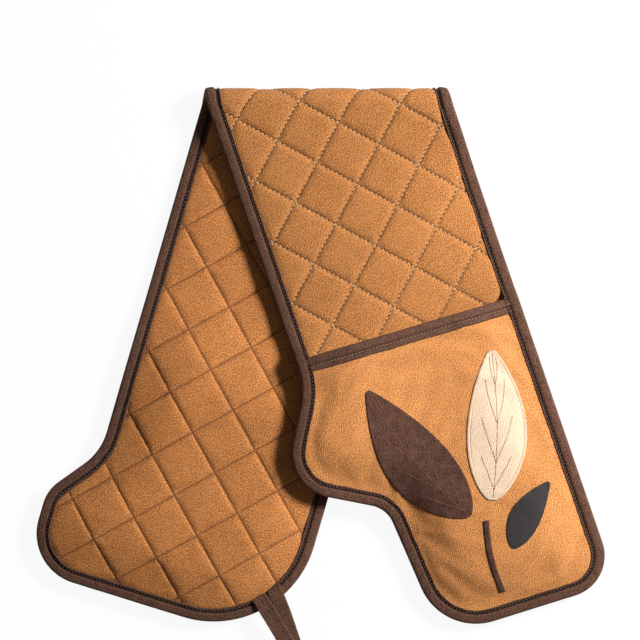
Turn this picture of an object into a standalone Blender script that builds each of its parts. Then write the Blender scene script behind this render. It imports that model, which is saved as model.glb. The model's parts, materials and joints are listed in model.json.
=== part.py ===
"""Double oven glove: a quilted strip with a mitt pocket at each end, folded at its middle and laid flat.

The back half lies on the table with its pocket underneath. The front half lies over it with its pocket on top.
Each half is drawn in its own frame: u runs across the strip and v runs down it, from the fold's left corner.
"""

import math

import bmesh
import bpy
import numpy as np
from mathutils import Matrix, Vector

MM = 0.001

# The strip and how its two halves lie
STRIP_WIDTH = 180 * MM
MOUTH_DISTANCE = 220 * MM
FRONT_TILT = math.radians(19.0)
BACK_TILT = math.radians(-16.2)
CORNER_BELOW_FOLD = 4 * MM

# Outline of the front mitt below its mouth
FRONT_WRIST = 19 * MM
FRONT_THUMB_REACH = 41 * MM
FRONT_THUMB_DROP = 68.5 * MM
FRONT_NOTCH_DROP = 42.5 * MM
FRONT_NOTCH_DEPTH = 29.5 * MM
FRONT_FINGERS = 109 * MM
FRONT_FINGERS_LEAN = 8.5 * MM
FRONT_TOE_DROP = 4 * MM
FRONT_WRIST_RADIUS = 60 * MM
FRONT_THUMB_RADIUS = 35.5 * MM
FRONT_NOTCH_RADIUS = 23 * MM
FRONT_HEEL_RADIUS = 46.5 * MM
FRONT_TOE_RADIUS = 32.5 * MM

# Outline of the back mitt below its mouth
BACK_WRIST = 68.5 * MM
BACK_THUMB_REACH = 32 * MM
BACK_THUMB_DROP = 40.5 * MM
BACK_PALM = 63 * MM
BACK_TOE_DROP = 4 * MM
BACK_WRIST_RADIUS = 46 * MM
BACK_THUMB_RADIUS = 31 * MM
BACK_HEEL_RADIUS = 40 * MM
BACK_TOE_RADIUS = 81.5 * MM

# Cloth, wadding and tape
FACE_CLOTH = 0.8 * MM
LINING_CLOTH = 0.8 * MM
STRIP_WADDING = 5 * MM
STRIP_EDGE_WADDING = 2 * MM
POCKET_CLOTH = 0.8 * MM
POCKET_WADDING = 3 * MM
POCKET_EDGE_WADDING = 1.2 * MM
POCKET_LINING = 0.6 * MM
TAPE = 1 * MM
CLEARANCE = 0.3 * MM
LAY_CLEARANCE = 1 * MM

# Binding round the edge and across each mouth
BINDING_WIDTH = 10.5 * MM
BINDING_ROUND = 1.4 * MM
BAND_WIDTH = 12 * MM

# Swelling of the layers and the room for a hand
PUFF_RAMP = 16 * MM
FRONT_HAND_ROOM = 11 * MM
BACK_HAND_ROOM = 10 * MM
DOME_RAMP = 34 * MM
BAND_RAMP = 24 * MM
MOUTH_FALL = 75 * MM
DRAPE_REACH = 72 * MM
FOLD_INNER_RADIUS = 4 * MM

# Diamond quilting: spacing of its lines, its height and one crossing on each half
FRONT_QUILT_CELL = 36 * MM
BACK_QUILT_CELL = 38 * MM
QUILT_SWELL = 3 * MM
QUILT_FADE = 14 * MM
FRONT_QUILT_CROSSING = (42 * MM, 51 * MM)
BACK_QUILT_CROSSING = (38 * MM, 279 * MM)

# Leaf sprig sewn on the front pocket; its places are shares of the strip's width and of the pocket's length
PATCH_CLOTH = 0.7 * MM
SATIN_WIDTH = 3.2 * MM
SATIN_HEIGHT = 1.1 * MM
LEAF_TIP_BLUNT = 1.2 * MM
LEAF_SKEW = 0.8
LEAF_FULLNESS = 0.85
BROWN_LEAF = {"base_share": (0.49, 0.65), "tip_share": (0.25, 0.16), "width": 25 * MM, "bow": 6 * MM}
CREAM_LEAF = {"base_share": (0.61, 0.62), "tip_share": (0.81, 0.16), "width": 21 * MM, "bow": -4 * MM}
CHARCOAL_LEAF = {"base_share": (0.62, 0.79), "tip_share": (0.86, 0.63), "width": 12 * MM, "bow": 3 * MM}
STEM = {"base_share": (0.52, 0.92), "tip_share": (0.55, 0.68), "width": 2.4 * MM, "bow": 3 * MM}

# Hanging loop of tape on the back half's toe
LOOP_TAPE_WIDTH = 12 * MM
LOOP_LENGTH = 62 * MM
LOOP_TURN_RADIUS = 3.6 * MM
LOOP_SIDE_GAP = 1.4 * MM
LOOP_TIP_SHIFT = 1.6 * MM
LOOP_AROUND_TOE = math.radians(38.5)
LOOP_SLEW = math.radians(4.5)
LOOP_CROWN = 1.5 * MM

# Closeness of the mesh
STRIP_ROWS = 10
FRONT_MITT_ROWS = 14
BACK_MITT_ROWS = 10
COLUMNS = 10
FOLD_STEPS = 7
ARC_POINTS = 24
LEAF_ROWS = 8
OVERRUN = 5 * MM
STRAIGHT_STEP = 30 * MM
TURN_STEP = math.radians(24)
CORNER_SHARE = 0.64
TOP_LEG_SIDE = 4
LOOP_TOP_STEPS = 7
LOOP_TURN_STEPS = 6
LOOP_UNDER_STEPS = 11
GROUND_STEPS = 3
SHARP_EDGE = math.radians(40)
CLOTH_ROUGHNESS = 0.85

# Sizes that follow from those above
FRONT_MITT = FRONT_WRIST + FRONT_THUMB_DROP + FRONT_NOTCH_DROP + FRONT_FINGERS
RIM = TAPE + CLEARANCE
CORE_INSET = BINDING_WIDTH + CLEARANCE
BAND_ROW = BAND_WIDTH + CLEARANCE
STRIP_FULL = FACE_CLOTH + STRIP_WADDING + LINING_CLOTH + 2 * CLEARANCE
FOLD_OUTER_RADIUS = FOLD_INNER_RADIUS + STRIP_FULL
FOLD_AXIS_HEIGHT = RIM + FOLD_OUTER_RADIUS
FOLD_AXIS_Y = CORNER_BELOW_FOLD - FOLD_OUTER_RADIUS - RIM

COLOURS = {
    "caramel": (0.52, 0.21, 0.07),
    "tape": (0.11, 0.055, 0.04),
    "wadding": (0.85, 0.83, 0.78),
    "lining": (0.50, 0.20, 0.07),
    "brown": (0.10, 0.048, 0.033),
    "cream": (0.87, 0.69, 0.52),
    "satin": (0.93, 0.80, 0.62),
    "charcoal": (0.047, 0.041, 0.040),
}


def smooth(share):
    """A step from 0 to 1 with level ends."""
    share = np.clip(share, 0.0, 1.0)
    return share * share * (3 - 2 * share)


def bell(share):
    """A hump from 1 at 0 down to 0 at 1, level at both ends."""
    return (1 - np.clip(share, 0.0, 1.0) ** 2) ** 2


def inward(heading):
    """The side of a heading on which the cloth lies."""
    return np.array((heading[1], -heading[0]))


def rounded_path(corners):
    """Close points along an open path with rounded corners, and the inward normal at each."""
    places = [np.array(corner[:2], float) for corner in corners]
    lengths = [np.linalg.norm(after - before) for before, after in zip(places, places[1:])]
    headings = [(after - before) / np.linalg.norm(after - before) for before, after in zip(places, places[1:])]
    points = [places[0]]
    normals = [inward(headings[0])]
    for index in range(1, len(places) - 1):
        first = inward(headings[index - 1])
        last = inward(headings[index])
        turn = math.acos(np.clip(first @ last, -1, 1))
        room = CORNER_SHARE * min(lengths[index - 1], lengths[index])
        radius = min(corners[index][2], room / math.tan(turn / 2))
        side = math.copysign(1, first @ headings[index])
        start = places[index] - headings[index - 1] * radius * math.tan(turn / 2)
        centre = start + first * radius * side
        for step in range(ARC_POINTS + 1):
            share = step / ARC_POINTS
            normal = (math.sin((1 - share) * turn) * first + math.sin(share * turn) * last) / math.sin(turn)
            points.append(centre - normal * radius * side)
            normals.append(normal)
    points.append(places[-1])
    normals.append(inward(headings[-1]))
    return np.array(points), np.array(normals)


class Half:
    """One half of the strip: its outline, and rows of points across it from the fold to the mitt's end."""

    def __init__(self, tilt, corners, mitt_rows):
        self.across = np.array((math.cos(tilt), math.sin(tilt)))
        self.down = np.array((math.sin(tilt), -math.cos(tilt)))
        start = -FOLD_AXIS_Y / math.cos(tilt)
        fold_left = np.array((0.0, start))
        fold_right = np.array((STRIP_WIDTH, start + STRIP_WIDTH * math.tan(tilt)))
        path = [(*fold_left, 0), *corners, (*fold_right, 0)]
        left, left_normals = rounded_path(path[:-1])
        right, right_normals = rounded_path(path[-3:])
        self.toe_centre = right[1] + right_normals[1] * np.linalg.norm(right[1] - right[ARC_POINTS + 1]) / (
            2 * math.sin(math.acos(right_normals[1] @ right_normals[ARC_POINTS + 1]) / 2)
        )
        self.toe_radius = np.linalg.norm(right[1] - self.toe_centre)
        left, left_normals = left[:-1], left_normals[:-1]
        right, right_normals = right[:0:-1], right_normals[:0:-1]
        self.outline = np.vstack([left, right[::-1]])
        self.rows = []
        for row in range(STRIP_ROWS + 1):
            share = row / STRIP_ROWS
            a = fold_left + (np.array((0.0, MOUTH_DISTANCE)) - fold_left) * share
            b = fold_right + (np.array((STRIP_WIDTH, MOUTH_DISTANCE)) - fold_right) * share
            if row == 0:
                a, b = a + (0, CLEARANCE / math.cos(tilt)), b + (0, CLEARANCE / math.cos(tilt))
            self.rows.append((a, (b - a) / STRIP_WIDTH, b, (a - b) / STRIP_WIDTH))
        steps = np.linalg.norm(np.diff(left, axis=0), axis=1) / STRAIGHT_STEP
        turns = np.arccos(np.clip((left_normals[1:] * left_normals[:-1]).sum(1), -1, 1)) / TURN_STEP
        travel = np.concatenate([[0], np.cumsum(steps + turns)])
        band = np.interp(MOUTH_DISTANCE + BAND_ROW, left[:, 1], travel)
        for value in np.linspace(band, travel[-1], mitt_rows + 1):
            a = np.array([np.interp(value, travel, left[:, k]) for k in range(2)])
            a_normal = np.array([np.interp(value, travel, left_normals[:, k]) for k in range(2)])
            share = (a[1] - MOUTH_DISTANCE) / (left[-1, 1] - MOUTH_DISTANCE)
            level = MOUTH_DISTANCE + share * (right[-1, 1] - MOUTH_DISTANCE)
            b = np.array((np.interp(level, right[:, 1], right[:, 0]), level))
            b_normal = np.array([np.interp(level, right[:, 1], right_normals[:, k]) for k in range(2)])
            self.rows.append((a, a_normal / np.linalg.norm(a_normal), b, b_normal / np.linalg.norm(b_normal)))
        self.last = len(self.rows) - 1
        self.rim_walk = self.walk_rim()

    def walk_rim(self):
        """Stations round the edge: the core point behind each, its outline point and the way inward."""
        walk = [((row, 0), a, a_in) for row, (a, a_in, _, _) in enumerate(self.rows)]
        a, a_in, b, _ = self.rows[-1]
        walk += [((self.last, column), a + (b - a) * column / COLUMNS, a_in) for column in range(1, COLUMNS)]
        walk += [((row, COLUMNS), self.rows[row][2], self.rows[row][3]) for row in range(self.last, -1, -1)]
        return walk

    def places(self, first_row=0, drop=0.0):
        """Points of a sheet from one row to the mitt's end, by name; its first row may start a little lower."""
        found = {}
        for row in range(first_row, self.last + 1):
            a, a_in, b, b_in = self.rows[row]
            start, stop = a + a_in * CORE_INSET, b + b_in * CORE_INSET
            for column in range(COLUMNS + 1):
                found[row, column] = start + (stop - start) * column / COLUMNS
        for station, (core, edge, edge_in) in enumerate(self.rim_walk):
            if core[0] >= first_row:
                found["rim", station] = edge + edge_in * RIM
        for key in found:
            row = self.rim_walk[key[1]][0][0] if key[0] == "rim" else key[0]
            if row == first_row:
                found[key] = found[key] + (0, drop)
        return found

    def cells(self, first_row=0):
        """Four-cornered cells of a sheet: the core's, then those of the rim."""
        core = [
            ((row, column), (row, column + 1), (row + 1, column + 1), (row + 1, column))
            for row in range(first_row, self.last)
            for column in range(COLUMNS)
        ]
        rim = [
            (("rim", station), self.rim_walk[station][0], self.rim_walk[station + 1][0], ("rim", station + 1))
            for station in range(len(self.rim_walk) - 1)
            if min(self.rim_walk[station][0][0], self.rim_walk[station + 1][0][0]) >= first_row
        ]
        return core + rim

    def world(self, local):
        """A point of this half's frame as seen from above."""
        return local[0] * self.across + local[1] * self.down

    def edge_distance(self, local):
        """How far a point lies inside the outline."""
        starts, ends = self.outline[:-1], self.outline[1:]
        runs = ends - starts
        shares = ((local - starts) * runs).sum(1) / (runs * runs).sum(1)
        nearest = starts + runs * np.clip(shares, 0, 1)[:, None]
        return np.linalg.norm(nearest - local, axis=1).min()


def front_corners():
    """Corners of the front half's outline, with the radius of each."""
    wrist = MOUTH_DISTANCE + FRONT_WRIST
    thumb = wrist + FRONT_THUMB_DROP
    notch = thumb + FRONT_NOTCH_DROP
    heel = notch + FRONT_FINGERS
    return [
        (0, wrist, FRONT_WRIST_RADIUS),
        (-FRONT_THUMB_REACH, thumb, FRONT_THUMB_RADIUS),
        (FRONT_NOTCH_DEPTH, notch, FRONT_NOTCH_RADIUS),
        (FRONT_NOTCH_DEPTH + FRONT_FINGERS_LEAN, heel, FRONT_HEEL_RADIUS),
        (STRIP_WIDTH, heel + FRONT_TOE_DROP, FRONT_TOE_RADIUS),
    ]


def back_corners():
    """Corners of the back half's outline, with the radius of each."""
    wrist = MOUTH_DISTANCE + BACK_WRIST
    thumb = wrist + BACK_THUMB_DROP
    heel = thumb + BACK_PALM
    return [
        (0, wrist, BACK_WRIST_RADIUS),
        (-BACK_THUMB_REACH, thumb, BACK_THUMB_RADIUS),
        (-BACK_THUMB_REACH, heel, BACK_HEEL_RADIUS),
        (STRIP_WIDTH, heel + BACK_TOE_DROP, BACK_TOE_RADIUS),
    ]


def puffed(edge, full, distance):
    """Thickness of wadding that the binding nips at the edge."""
    return edge + (full - edge) * smooth((distance - RIM) / PUFF_RAMP)


def strip_layers(distance):
    """The strip's thicknesses from its face to its lining."""
    return {
        "face_cloth": FACE_CLOTH,
        "wadding": puffed(STRIP_EDGE_WADDING, STRIP_WADDING, distance),
        "lining": LINING_CLOTH,
    }


def pocket_layers(distance):
    """The pocket's thicknesses from its face to its lining."""
    return {
        "pocket_face": POCKET_CLOTH,
        "pocket_wadding": puffed(POCKET_EDGE_WADDING, POCKET_WADDING, distance),
        "pocket_lining": POCKET_LINING,
    }


def stack_height(layers):
    """Height of layers laid on each other with their clearances."""
    return sum(layers.values()) + (len(layers) - 1) * CLEARANCE


def spread(layers, base):
    """Low and high level of each layer, from the first upward."""
    levels = {}
    for name, thickness in layers.items():
        levels[name] = (base, base + thickness)
        base += thickness + CLEARANCE
    return levels


def hand_room(room, distance, v):
    """Height between strip and pocket: open in the middle, with room for the mouth band at the mouth."""
    at_mouth = 1 - smooth((v - MOUTH_DISTANCE - BAND_ROW) / BAND_RAMP)
    return CLEARANCE + (TAPE + CLEARANCE) * at_mouth + room * smooth((distance - CORE_INSET) / DOME_RAMP)


def back_levels(half, local):
    """Levels of every layer of the back half over one point, its pocket lowest."""
    distance = half.edge_distance(local)
    pocket = spread(pocket_layers(distance), RIM)
    rise = stack_height(pocket_layers(distance)) + hand_room(BACK_HAND_ROOM, distance, local[1])
    fall = smooth((local[1] - MOUTH_DISTANCE + MOUTH_FALL) / MOUTH_FALL)
    return {**pocket, **spread(strip_layers(distance), RIM + rise * fall)}


def front_levels(half, local, ground):
    """Levels of every layer of the front half over one point, its pocket highest."""
    distance = half.edge_distance(local)
    point = half.world(local)
    strip = dict(reversed(strip_layers(distance).items()))
    near_fold = bell((FOLD_AXIS_Y - point[1]) / DRAPE_REACH)
    lifted = (STRIP_FULL - stack_height(strip)) * near_fold
    fold_level = (FOLD_AXIS_HEIGHT + FOLD_INNER_RADIUS - RIM) * near_fold
    reach = np.linalg.norm(ground[:, :2] - point, axis=1) / DRAPE_REACH
    base = RIM + lifted + max(fold_level, (ground[:, 2] * bell(reach)).max())
    levels = spread(strip, base)
    pocket = dict(reversed(pocket_layers(distance).items()))
    room = hand_room(FRONT_HAND_ROOM, distance, local[1])
    return {**levels, **spread(pocket, levels["face_cloth"][1] + room)}


def quilt_swell(half, cell, crossing, local, last_v):
    """How far the quilted diamonds stand up at a point, fading at the edge, the fold and past last_v."""
    along = (np.array(local) - crossing) @ np.array(((1, 1), (1, -1))).T / math.sqrt(2) / cell
    pillow = abs(math.sin(math.pi * along[0]) * math.sin(math.pi * along[1]))
    fold_distance = FOLD_AXIS_Y - half.world(local)[1]
    inside = half.edge_distance(local) - CORE_INSET
    fade = smooth(inside / QUILT_FADE) * smooth(fold_distance / QUILT_FADE) * smooth((last_v - local[1]) / QUILT_FADE)
    return QUILT_SWELL * pillow * float(fade)


def middle(first, second):
    """The point halfway between two."""
    return (np.array(first) + second) / 2


def half_cell(high, middles, a, b, c):
    """Top triangles of one half of a cell, cut from a to c, with any middles on its two outer edges."""
    ab, bc = middles.get(frozenset((a, b))), middles.get(frozenset((b, c)))
    a, b, c = high[a], high[b], high[c]
    if ab is None and bc is None:
        return [(a, b, c)]
    if bc is None:
        return [(a, ab, c), (ab, b, c)]
    if ab is None:
        return [(a, b, bc), (a, bc, c)]
    return [(ab, b, bc), (a, ab, bc), (a, bc, c)]


def edges_of(cell):
    """The four edges of a cell in order."""
    return list(zip(cell, cell[1:] + cell[:1]))


def solid_between(cells, low, high, fine=(), swell=None):
    """A closed solid between two sheets of the same cells. Fine cells are cut finer on top, where swell lifts them."""
    lift = swell or (lambda point: 0.0)
    points = []
    keys = sorted({key for cell in cells for key in cell}, key=str)
    low_index = {key: place for place, key in enumerate(keys)}
    high_index = {key: place + len(keys) for place, key in enumerate(keys)}
    points += [np.array(low[key]) for key in keys]
    points += [np.array(high[key]) + (0, 0, lift(high[key])) for key in keys]
    middles = {}
    for cell in fine:
        for a, b in edges_of(cell):
            if frozenset((a, b)) not in middles:
                middles[frozenset((a, b))] = len(points)
                place = middle(high[a], high[b])
                points.append(place + (0, 0, lift(place)))
    faces = []
    use = {}
    for cell in cells:
        a, b, c, d = cell
        faces += [(low_index[a], low_index[c], low_index[b]), (low_index[a], low_index[d], low_index[c])]
        for edge in edges_of(cell):
            use.setdefault(frozenset(edge), []).append(edge)
        if cell in fine:
            place = middle(high[a], high[c])
            points.append(place + (0, 0, lift(place)))
            loop = [index for edge in edges_of(cell) for index in (high_index[edge[0]], middles[frozenset(edge)])]
            faces += [(len(points) - 1, one, two) for one, two in zip(loop, loop[1:] + loop[:1])]
        else:
            faces += half_cell(high_index, middles, a, b, c) + half_cell(high_index, middles, c, d, a)
    for edge, uses in use.items():
        if len(uses) == 1:
            a, b = uses[0]
            top = [high_index[b], middles.get(edge), high_index[a]]
            top = [index for index in top if index is not None]
            faces += [(low_index[a], low_index[b], top[0])]
            faces += [(low_index[a], one, two) for one, two in zip(top, top[1:])]
    return points, faces


def swept(sections, closed=False, crossed=None):
    """A closed solid through matching loops of points. The side named crossed is cut along its other diagonal."""
    size = len(sections[0])
    points = [point for section in sections for point in section]
    faces = []
    spans = len(sections) if closed else len(sections) - 1
    for span in range(spans):
        start, stop = span * size, (span + 1) % len(sections) * size
        for corner in range(size):
            after = (corner + 1) % size
            loop = [start + corner, start + after, stop + after, stop + corner]
            if corner == crossed:
                loop = loop[1:] + loop[:1]
            faces += [(loop[0], loop[1], loop[2]), (loop[0], loop[2], loop[3])]
    if not closed:
        faces += [tuple(range(size)), tuple(range(len(points) - size, len(points)))]
    return points, faces


def material(name, roughness):
    """A plain cloth-like material in one of the glove's colours."""
    made = bpy.data.materials.new(name)
    made.use_nodes = True
    shader = made.node_tree.nodes["Principled BSDF"]
    shader.inputs["Base Color"].default_value = (*COLOURS[name.split("_")[0]], 1)
    shader.inputs["Roughness"].default_value = roughness
    shader.inputs["Metallic"].default_value = 0
    made.diffuse_color = (*COLOURS[name.split("_")[0]], 1)
    return made


def add_object(name, shape, finish):
    """One sub-part as a mesh object with outward faces."""
    points, faces = shape
    work = bmesh.new()
    corners = [work.verts.new(Vector(point)) for point in points]
    for face in faces:
        work.faces.new([corners[index] for index in face])
    bmesh.ops.recalc_face_normals(work, faces=work.faces)
    mesh = bpy.data.meshes.new(name)
    work.to_mesh(mesh)
    work.free()
    mesh.shade_smooth()
    mesh.set_sharp_from_angle(angle=SHARP_EDGE)
    mesh.materials.append(finish)
    made = bpy.data.objects.new(name, mesh)
    bpy.context.scene.collection.objects.link(made)
    return made


def level_sheets(half, name, levels, first_row, drop=0.0):
    """Low and high points of one layer of a half."""
    low, high = {}, {}
    for key, local in half.places(first_row, drop).items():
        point = half.world(local)
        low[key] = (*point, levels[key][name][0])
        high[key] = (*point, levels[key][name][1])
    return low, high


def binding_profile(edge, edge_in, bottoms, tops):
    """Loop of points of a folded tape round an edge: bottoms and tops are levels at the rim and the core."""
    share = (BINDING_WIDTH - RIM) / (CORE_INSET - RIM)
    under = bottoms[0] - CLEARANCE
    over = tops[0] + CLEARANCE
    under_tip = bottoms[0] + (bottoms[1] - bottoms[0]) * share - CLEARANCE
    over_tip = tops[0] + (tops[1] - tops[0]) * share + CLEARANCE
    outline = [
        (BINDING_WIDTH, under_tip - TAPE),
        (BINDING_ROUND, under - TAPE),
        (0, under - TAPE + BINDING_ROUND),
        (0, over + TAPE - BINDING_ROUND),
        (BINDING_ROUND, over + TAPE),
        (BINDING_WIDTH, over_tip + TAPE),
        (BINDING_WIDTH, over_tip),
        (TAPE, over),
        (TAPE, under),
        (BINDING_WIDTH, under_tip),
    ]
    return [(*(edge + edge_in * inset), level) for inset, level in outline]


def edge_binding(half, levels, bottom_of, top_of):
    """The tape that wraps the half's edge from the fold round the mitt and back to the fold."""
    sections = []
    for station, (core, edge, edge_in) in enumerate(half.rim_walk):
        rim, inner = levels["rim", station], levels[core]
        in_mitt = core[0] >= STRIP_ROWS
        bottoms = [bottom_of(place, in_mitt) for place in (rim, inner)]
        tops = [top_of(place, in_mitt) for place in (rim, inner)]
        inside = edge_in[0] * half.across + edge_in[1] * half.down
        sections.append(binding_profile(half.world(edge), inside, bottoms, tops))
    return swept(sections, crossed=len(sections[0]) - TOP_LEG_SIDE)


def mouth_band(half, levels, bottom_name, top_name):
    """The tape folded over the pocket's upper edge, from one edge binding to the other."""
    places = half.places()
    sections = []
    for column in range(COLUMNS + 1):
        first, second = levels[STRIP_ROWS, column], levels[STRIP_ROWS + 1, column]
        start = half.world(places[STRIP_ROWS, column])
        way = (half.world(places[STRIP_ROWS + 1, column]) - start) / BAND_ROW
        share = BAND_WIDTH / BAND_ROW
        bottoms = [first[bottom_name][0], second[bottom_name][0]]
        tops = [first[top_name][1], second[top_name][1]]
        tip = bottoms[0] + (bottoms[1] - bottoms[0]) * share - CLEARANCE
        top_tip = tops[0] + (tops[1] - tops[0]) * share + CLEARANCE
        outline = [
            (BAND_WIDTH, tip - TAPE),
            (0, bottoms[0] - CLEARANCE - TAPE),
            (0, tops[0] + CLEARANCE + TAPE),
            (BAND_WIDTH, top_tip + TAPE),
            (BAND_WIDTH, top_tip),
            (TAPE, tops[0] + CLEARANCE),
            (TAPE, bottoms[0] - CLEARANCE),
            (BAND_WIDTH, tip),
        ]
        sections.append([(*(start + way * along), level) for along, level in outline])
    return swept(sections, crossed=len(outline) - TOP_LEG_SIDE)


def fold_columns(half):
    """Places across the strip at the fold, from one rim to the other."""
    places = half.places()
    last_station = len(half.rim_walk) - 1
    keys = [("rim", 0), *((0, column) for column in range(COLUMNS + 1)), ("rim", last_station)]
    return [(half.world(places[key])[0], half.edge_distance(places[key])) for key in keys]


def fold_layer(front, back, name):
    """One layer of the strip where it bends over from the back half to the front half."""
    lower, upper = fold_columns(back), fold_columns(front)
    low, high = {}, {}
    for step in range(FOLD_STEPS + 1):
        share = step / FOLD_STEPS
        angle = math.pi * (share - 1 / 2)
        for column, ((x_low, distance), (x_high, _)) in enumerate(zip(lower, upper)):
            levels = spread(strip_layers(distance), -FOLD_OUTER_RADIUS)[name]
            for points, level in zip((high, low), levels):
                place = (x_low + (x_high - x_low) * share, FOLD_AXIS_Y - level * math.cos(angle))
                points[step, column] = (*place, FOLD_AXIS_HEIGHT - level * math.sin(angle))
    cells = [
        ((step, column), (step, column + 1), (step + 1, column + 1), (step + 1, column))
        for step in range(FOLD_STEPS)
        for column in range(len(lower) - 1)
    ]
    return solid_between(cells, low, high)


def fold_binding(front, back, end):
    """The edge tape round one end of the fold; end is 0 at the left and -1 at the right."""
    sections = []
    for step in range(FOLD_STEPS + 1):
        share = step / FOLD_STEPS
        angle = math.pi * (share - 1 / 2)
        ways = []
        for half in (back, front):
            _, edge, edge_in = half.rim_walk[end]
            ways.append((half.world(edge)[0], (edge_in[0] * half.across + edge_in[1] * half.down)[0]))
        edge_x, inside = (first + (second - first) * share for first, second in zip(*ways))
        tops = [stack_height(strip_layers(inset)) - FOLD_OUTER_RADIUS for inset in (RIM, CORE_INSET)]
        bottoms = [-FOLD_OUTER_RADIUS] * 2
        profile = binding_profile(np.array((edge_x, 0)), np.array((inside, 0)), bottoms, tops)
        sections.append(
            [
                (x, FOLD_AXIS_Y - level * math.cos(angle), FOLD_AXIS_HEIGHT - level * math.sin(angle))
                for x, _, level in profile
            ]
        )
    return swept(sections)


def leaf_width(share):
    """Half width of a leaf along its length, as a share of its widest."""
    return math.sin(math.pi * share**LEAF_SKEW) ** LEAF_FULLNESS if 0 < share < 1 else 0.0


def leaf_outline(leaf, even=False):
    """Closed outline of a leaf, or of a stem of even width, with the outward normal at each point."""
    base, tip = (
        np.array((across * STRIP_WIDTH, MOUTH_DISTANCE + down * FRONT_MITT))
        for across, down in (leaf["base_share"], leaf["tip_share"])
    )
    run = tip - base
    side = inward(run / np.linalg.norm(run))
    rows = []
    for row in range(LEAF_ROWS + 1):
        share = row / LEAF_ROWS
        centre = base + run * share + side * leaf["bow"] * math.sin(math.pi * share)
        width = leaf["width"] if even else LEAF_TIP_BLUNT + (leaf["width"] - LEAF_TIP_BLUNT) * leaf_width(share)
        rows.append((centre - side * width, centre + side * width))
    loop = [row[0] for row in rows] + [row[1] for row in reversed(rows)]
    normals = []
    for index in range(len(loop)):
        chord = loop[(index + 1) % len(loop)] - loop[index - 1]
        normals.append(-inward(chord / np.linalg.norm(chord)))
    return loop, normals


def cut_from_cloth(name, half, pocket, outline, thickness, finish):
    """A piece of cloth that lies on the pocket's face, cut to an outline that reaches through it."""
    cells, face = pocket
    low = {key: np.array(point) + (0, 0, CLEARANCE) for key, point in face.items()}
    high = {key: point + (0, 0, thickness) for key, point in low.items()}
    made = add_object(name, solid_between(cells, low, high), finish)
    cutter = add_object(name + "_outline", outline, finish)
    cutter.hide_render = True
    cutter.display_type = "WIRE"
    keep = made.modifiers.new("outline", "BOOLEAN")
    keep.operation = "INTERSECT"
    keep.solver = "EXACT"
    keep.object = cutter
    return [made, cutter]


def leaf_prism(half, leaf, ceiling, even=False):
    """An upright solid with a leaf's outline."""
    loop, _ = leaf_outline(leaf, even)
    return swept([[(*half.world(place), level) for place in loop] for level in (0, ceiling)])


def border_prism(half, leaf, ceiling):
    """An upright ring just outside a leaf's outline."""
    sections = []
    for place, outward in zip(*leaf_outline(leaf)):
        inner = half.world(place + outward * CLEARANCE)
        outer = half.world(place + outward * (CLEARANCE + SATIN_WIDTH))
        sections.append([(*inner, 0), (*outer, 0), (*outer, ceiling), (*inner, ceiling)])
    return swept(sections, closed=True)


def loop_route(root_level):
    """The hanging loop's route as distance out, sideways shift and level, from its left end to its right end."""
    turn_out = LOOP_LENGTH - LOOP_TURN_RADIUS
    floor = CLEARANCE + TAPE / 2
    side = (LOOP_TAPE_WIDTH + LOOP_SIDE_GAP) / 2
    tip_top = floor + 2 * LOOP_TURN_RADIUS
    route = []
    for share in np.linspace(0, 1, LOOP_TOP_STEPS + 1)[:-1]:
        level = root_level + (tip_top - root_level) * smooth(share) + LOOP_CROWN * math.sin(math.pi * share)
        route.append((turn_out * share, -side, level))
    for step in range(LOOP_TURN_STEPS + 1):
        angle = math.pi * step / LOOP_TURN_STEPS
        out = turn_out + LOOP_TURN_RADIUS * math.sin(angle)
        shift = -side + LOOP_TIP_SHIFT * step / LOOP_TURN_STEPS
        route.append((out, shift, floor + LOOP_TURN_RADIUS * (1 + math.cos(angle))))
    landing = BINDING_WIDTH + root_level - floor
    for share in np.linspace(0, 1, LOOP_UNDER_STEPS + 1)[1:]:
        out = turn_out * (1 - share)
        climb = smooth((landing + BINDING_WIDTH / 2 - out) / landing)
        shift = -side + LOOP_TIP_SHIFT + (2 * side - LOOP_TIP_SHIFT) * share
        route.append((out, shift, floor + (root_level - floor) * climb))
    return route


def hanging_loop(root, heading, root_level):
    """A tape folded back on itself: a left leg on top, a turn, and a right leg below."""
    sideways = np.array((-heading[1], heading[0]))
    route = loop_route(root_level)
    sections = []
    for index, (out, shift, level) in enumerate(route):
        before, after = route[max(index - 1, 0)], route[min(index + 1, len(route) - 1)]
        run = np.array((after[0] - before[0], after[2] - before[2]))
        rise = np.array((-run[1], run[0])) / np.linalg.norm(run) * TAPE / 2
        section = []
        for side, thick in ((-1, -1), (1, -1), (1, 1), (-1, 1)):
            place = root + heading * (out + rise[0] * thick) + sideways * (shift + side * LOOP_TAPE_WIDTH / 2)
            section.append((*place, level + rise[1] * thick))
        sections.append(section)
    return swept(sections)


def joint_empty(name, location, children):
    """An empty on a joint's axis that carries the pieces which turn about it."""
    empty = bpy.data.objects.new(name, None)
    empty.location = location
    bpy.context.scene.collection.objects.link(empty)
    for child in children:
        child.parent = empty
        child.location = -Vector(location)
    return empty


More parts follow.
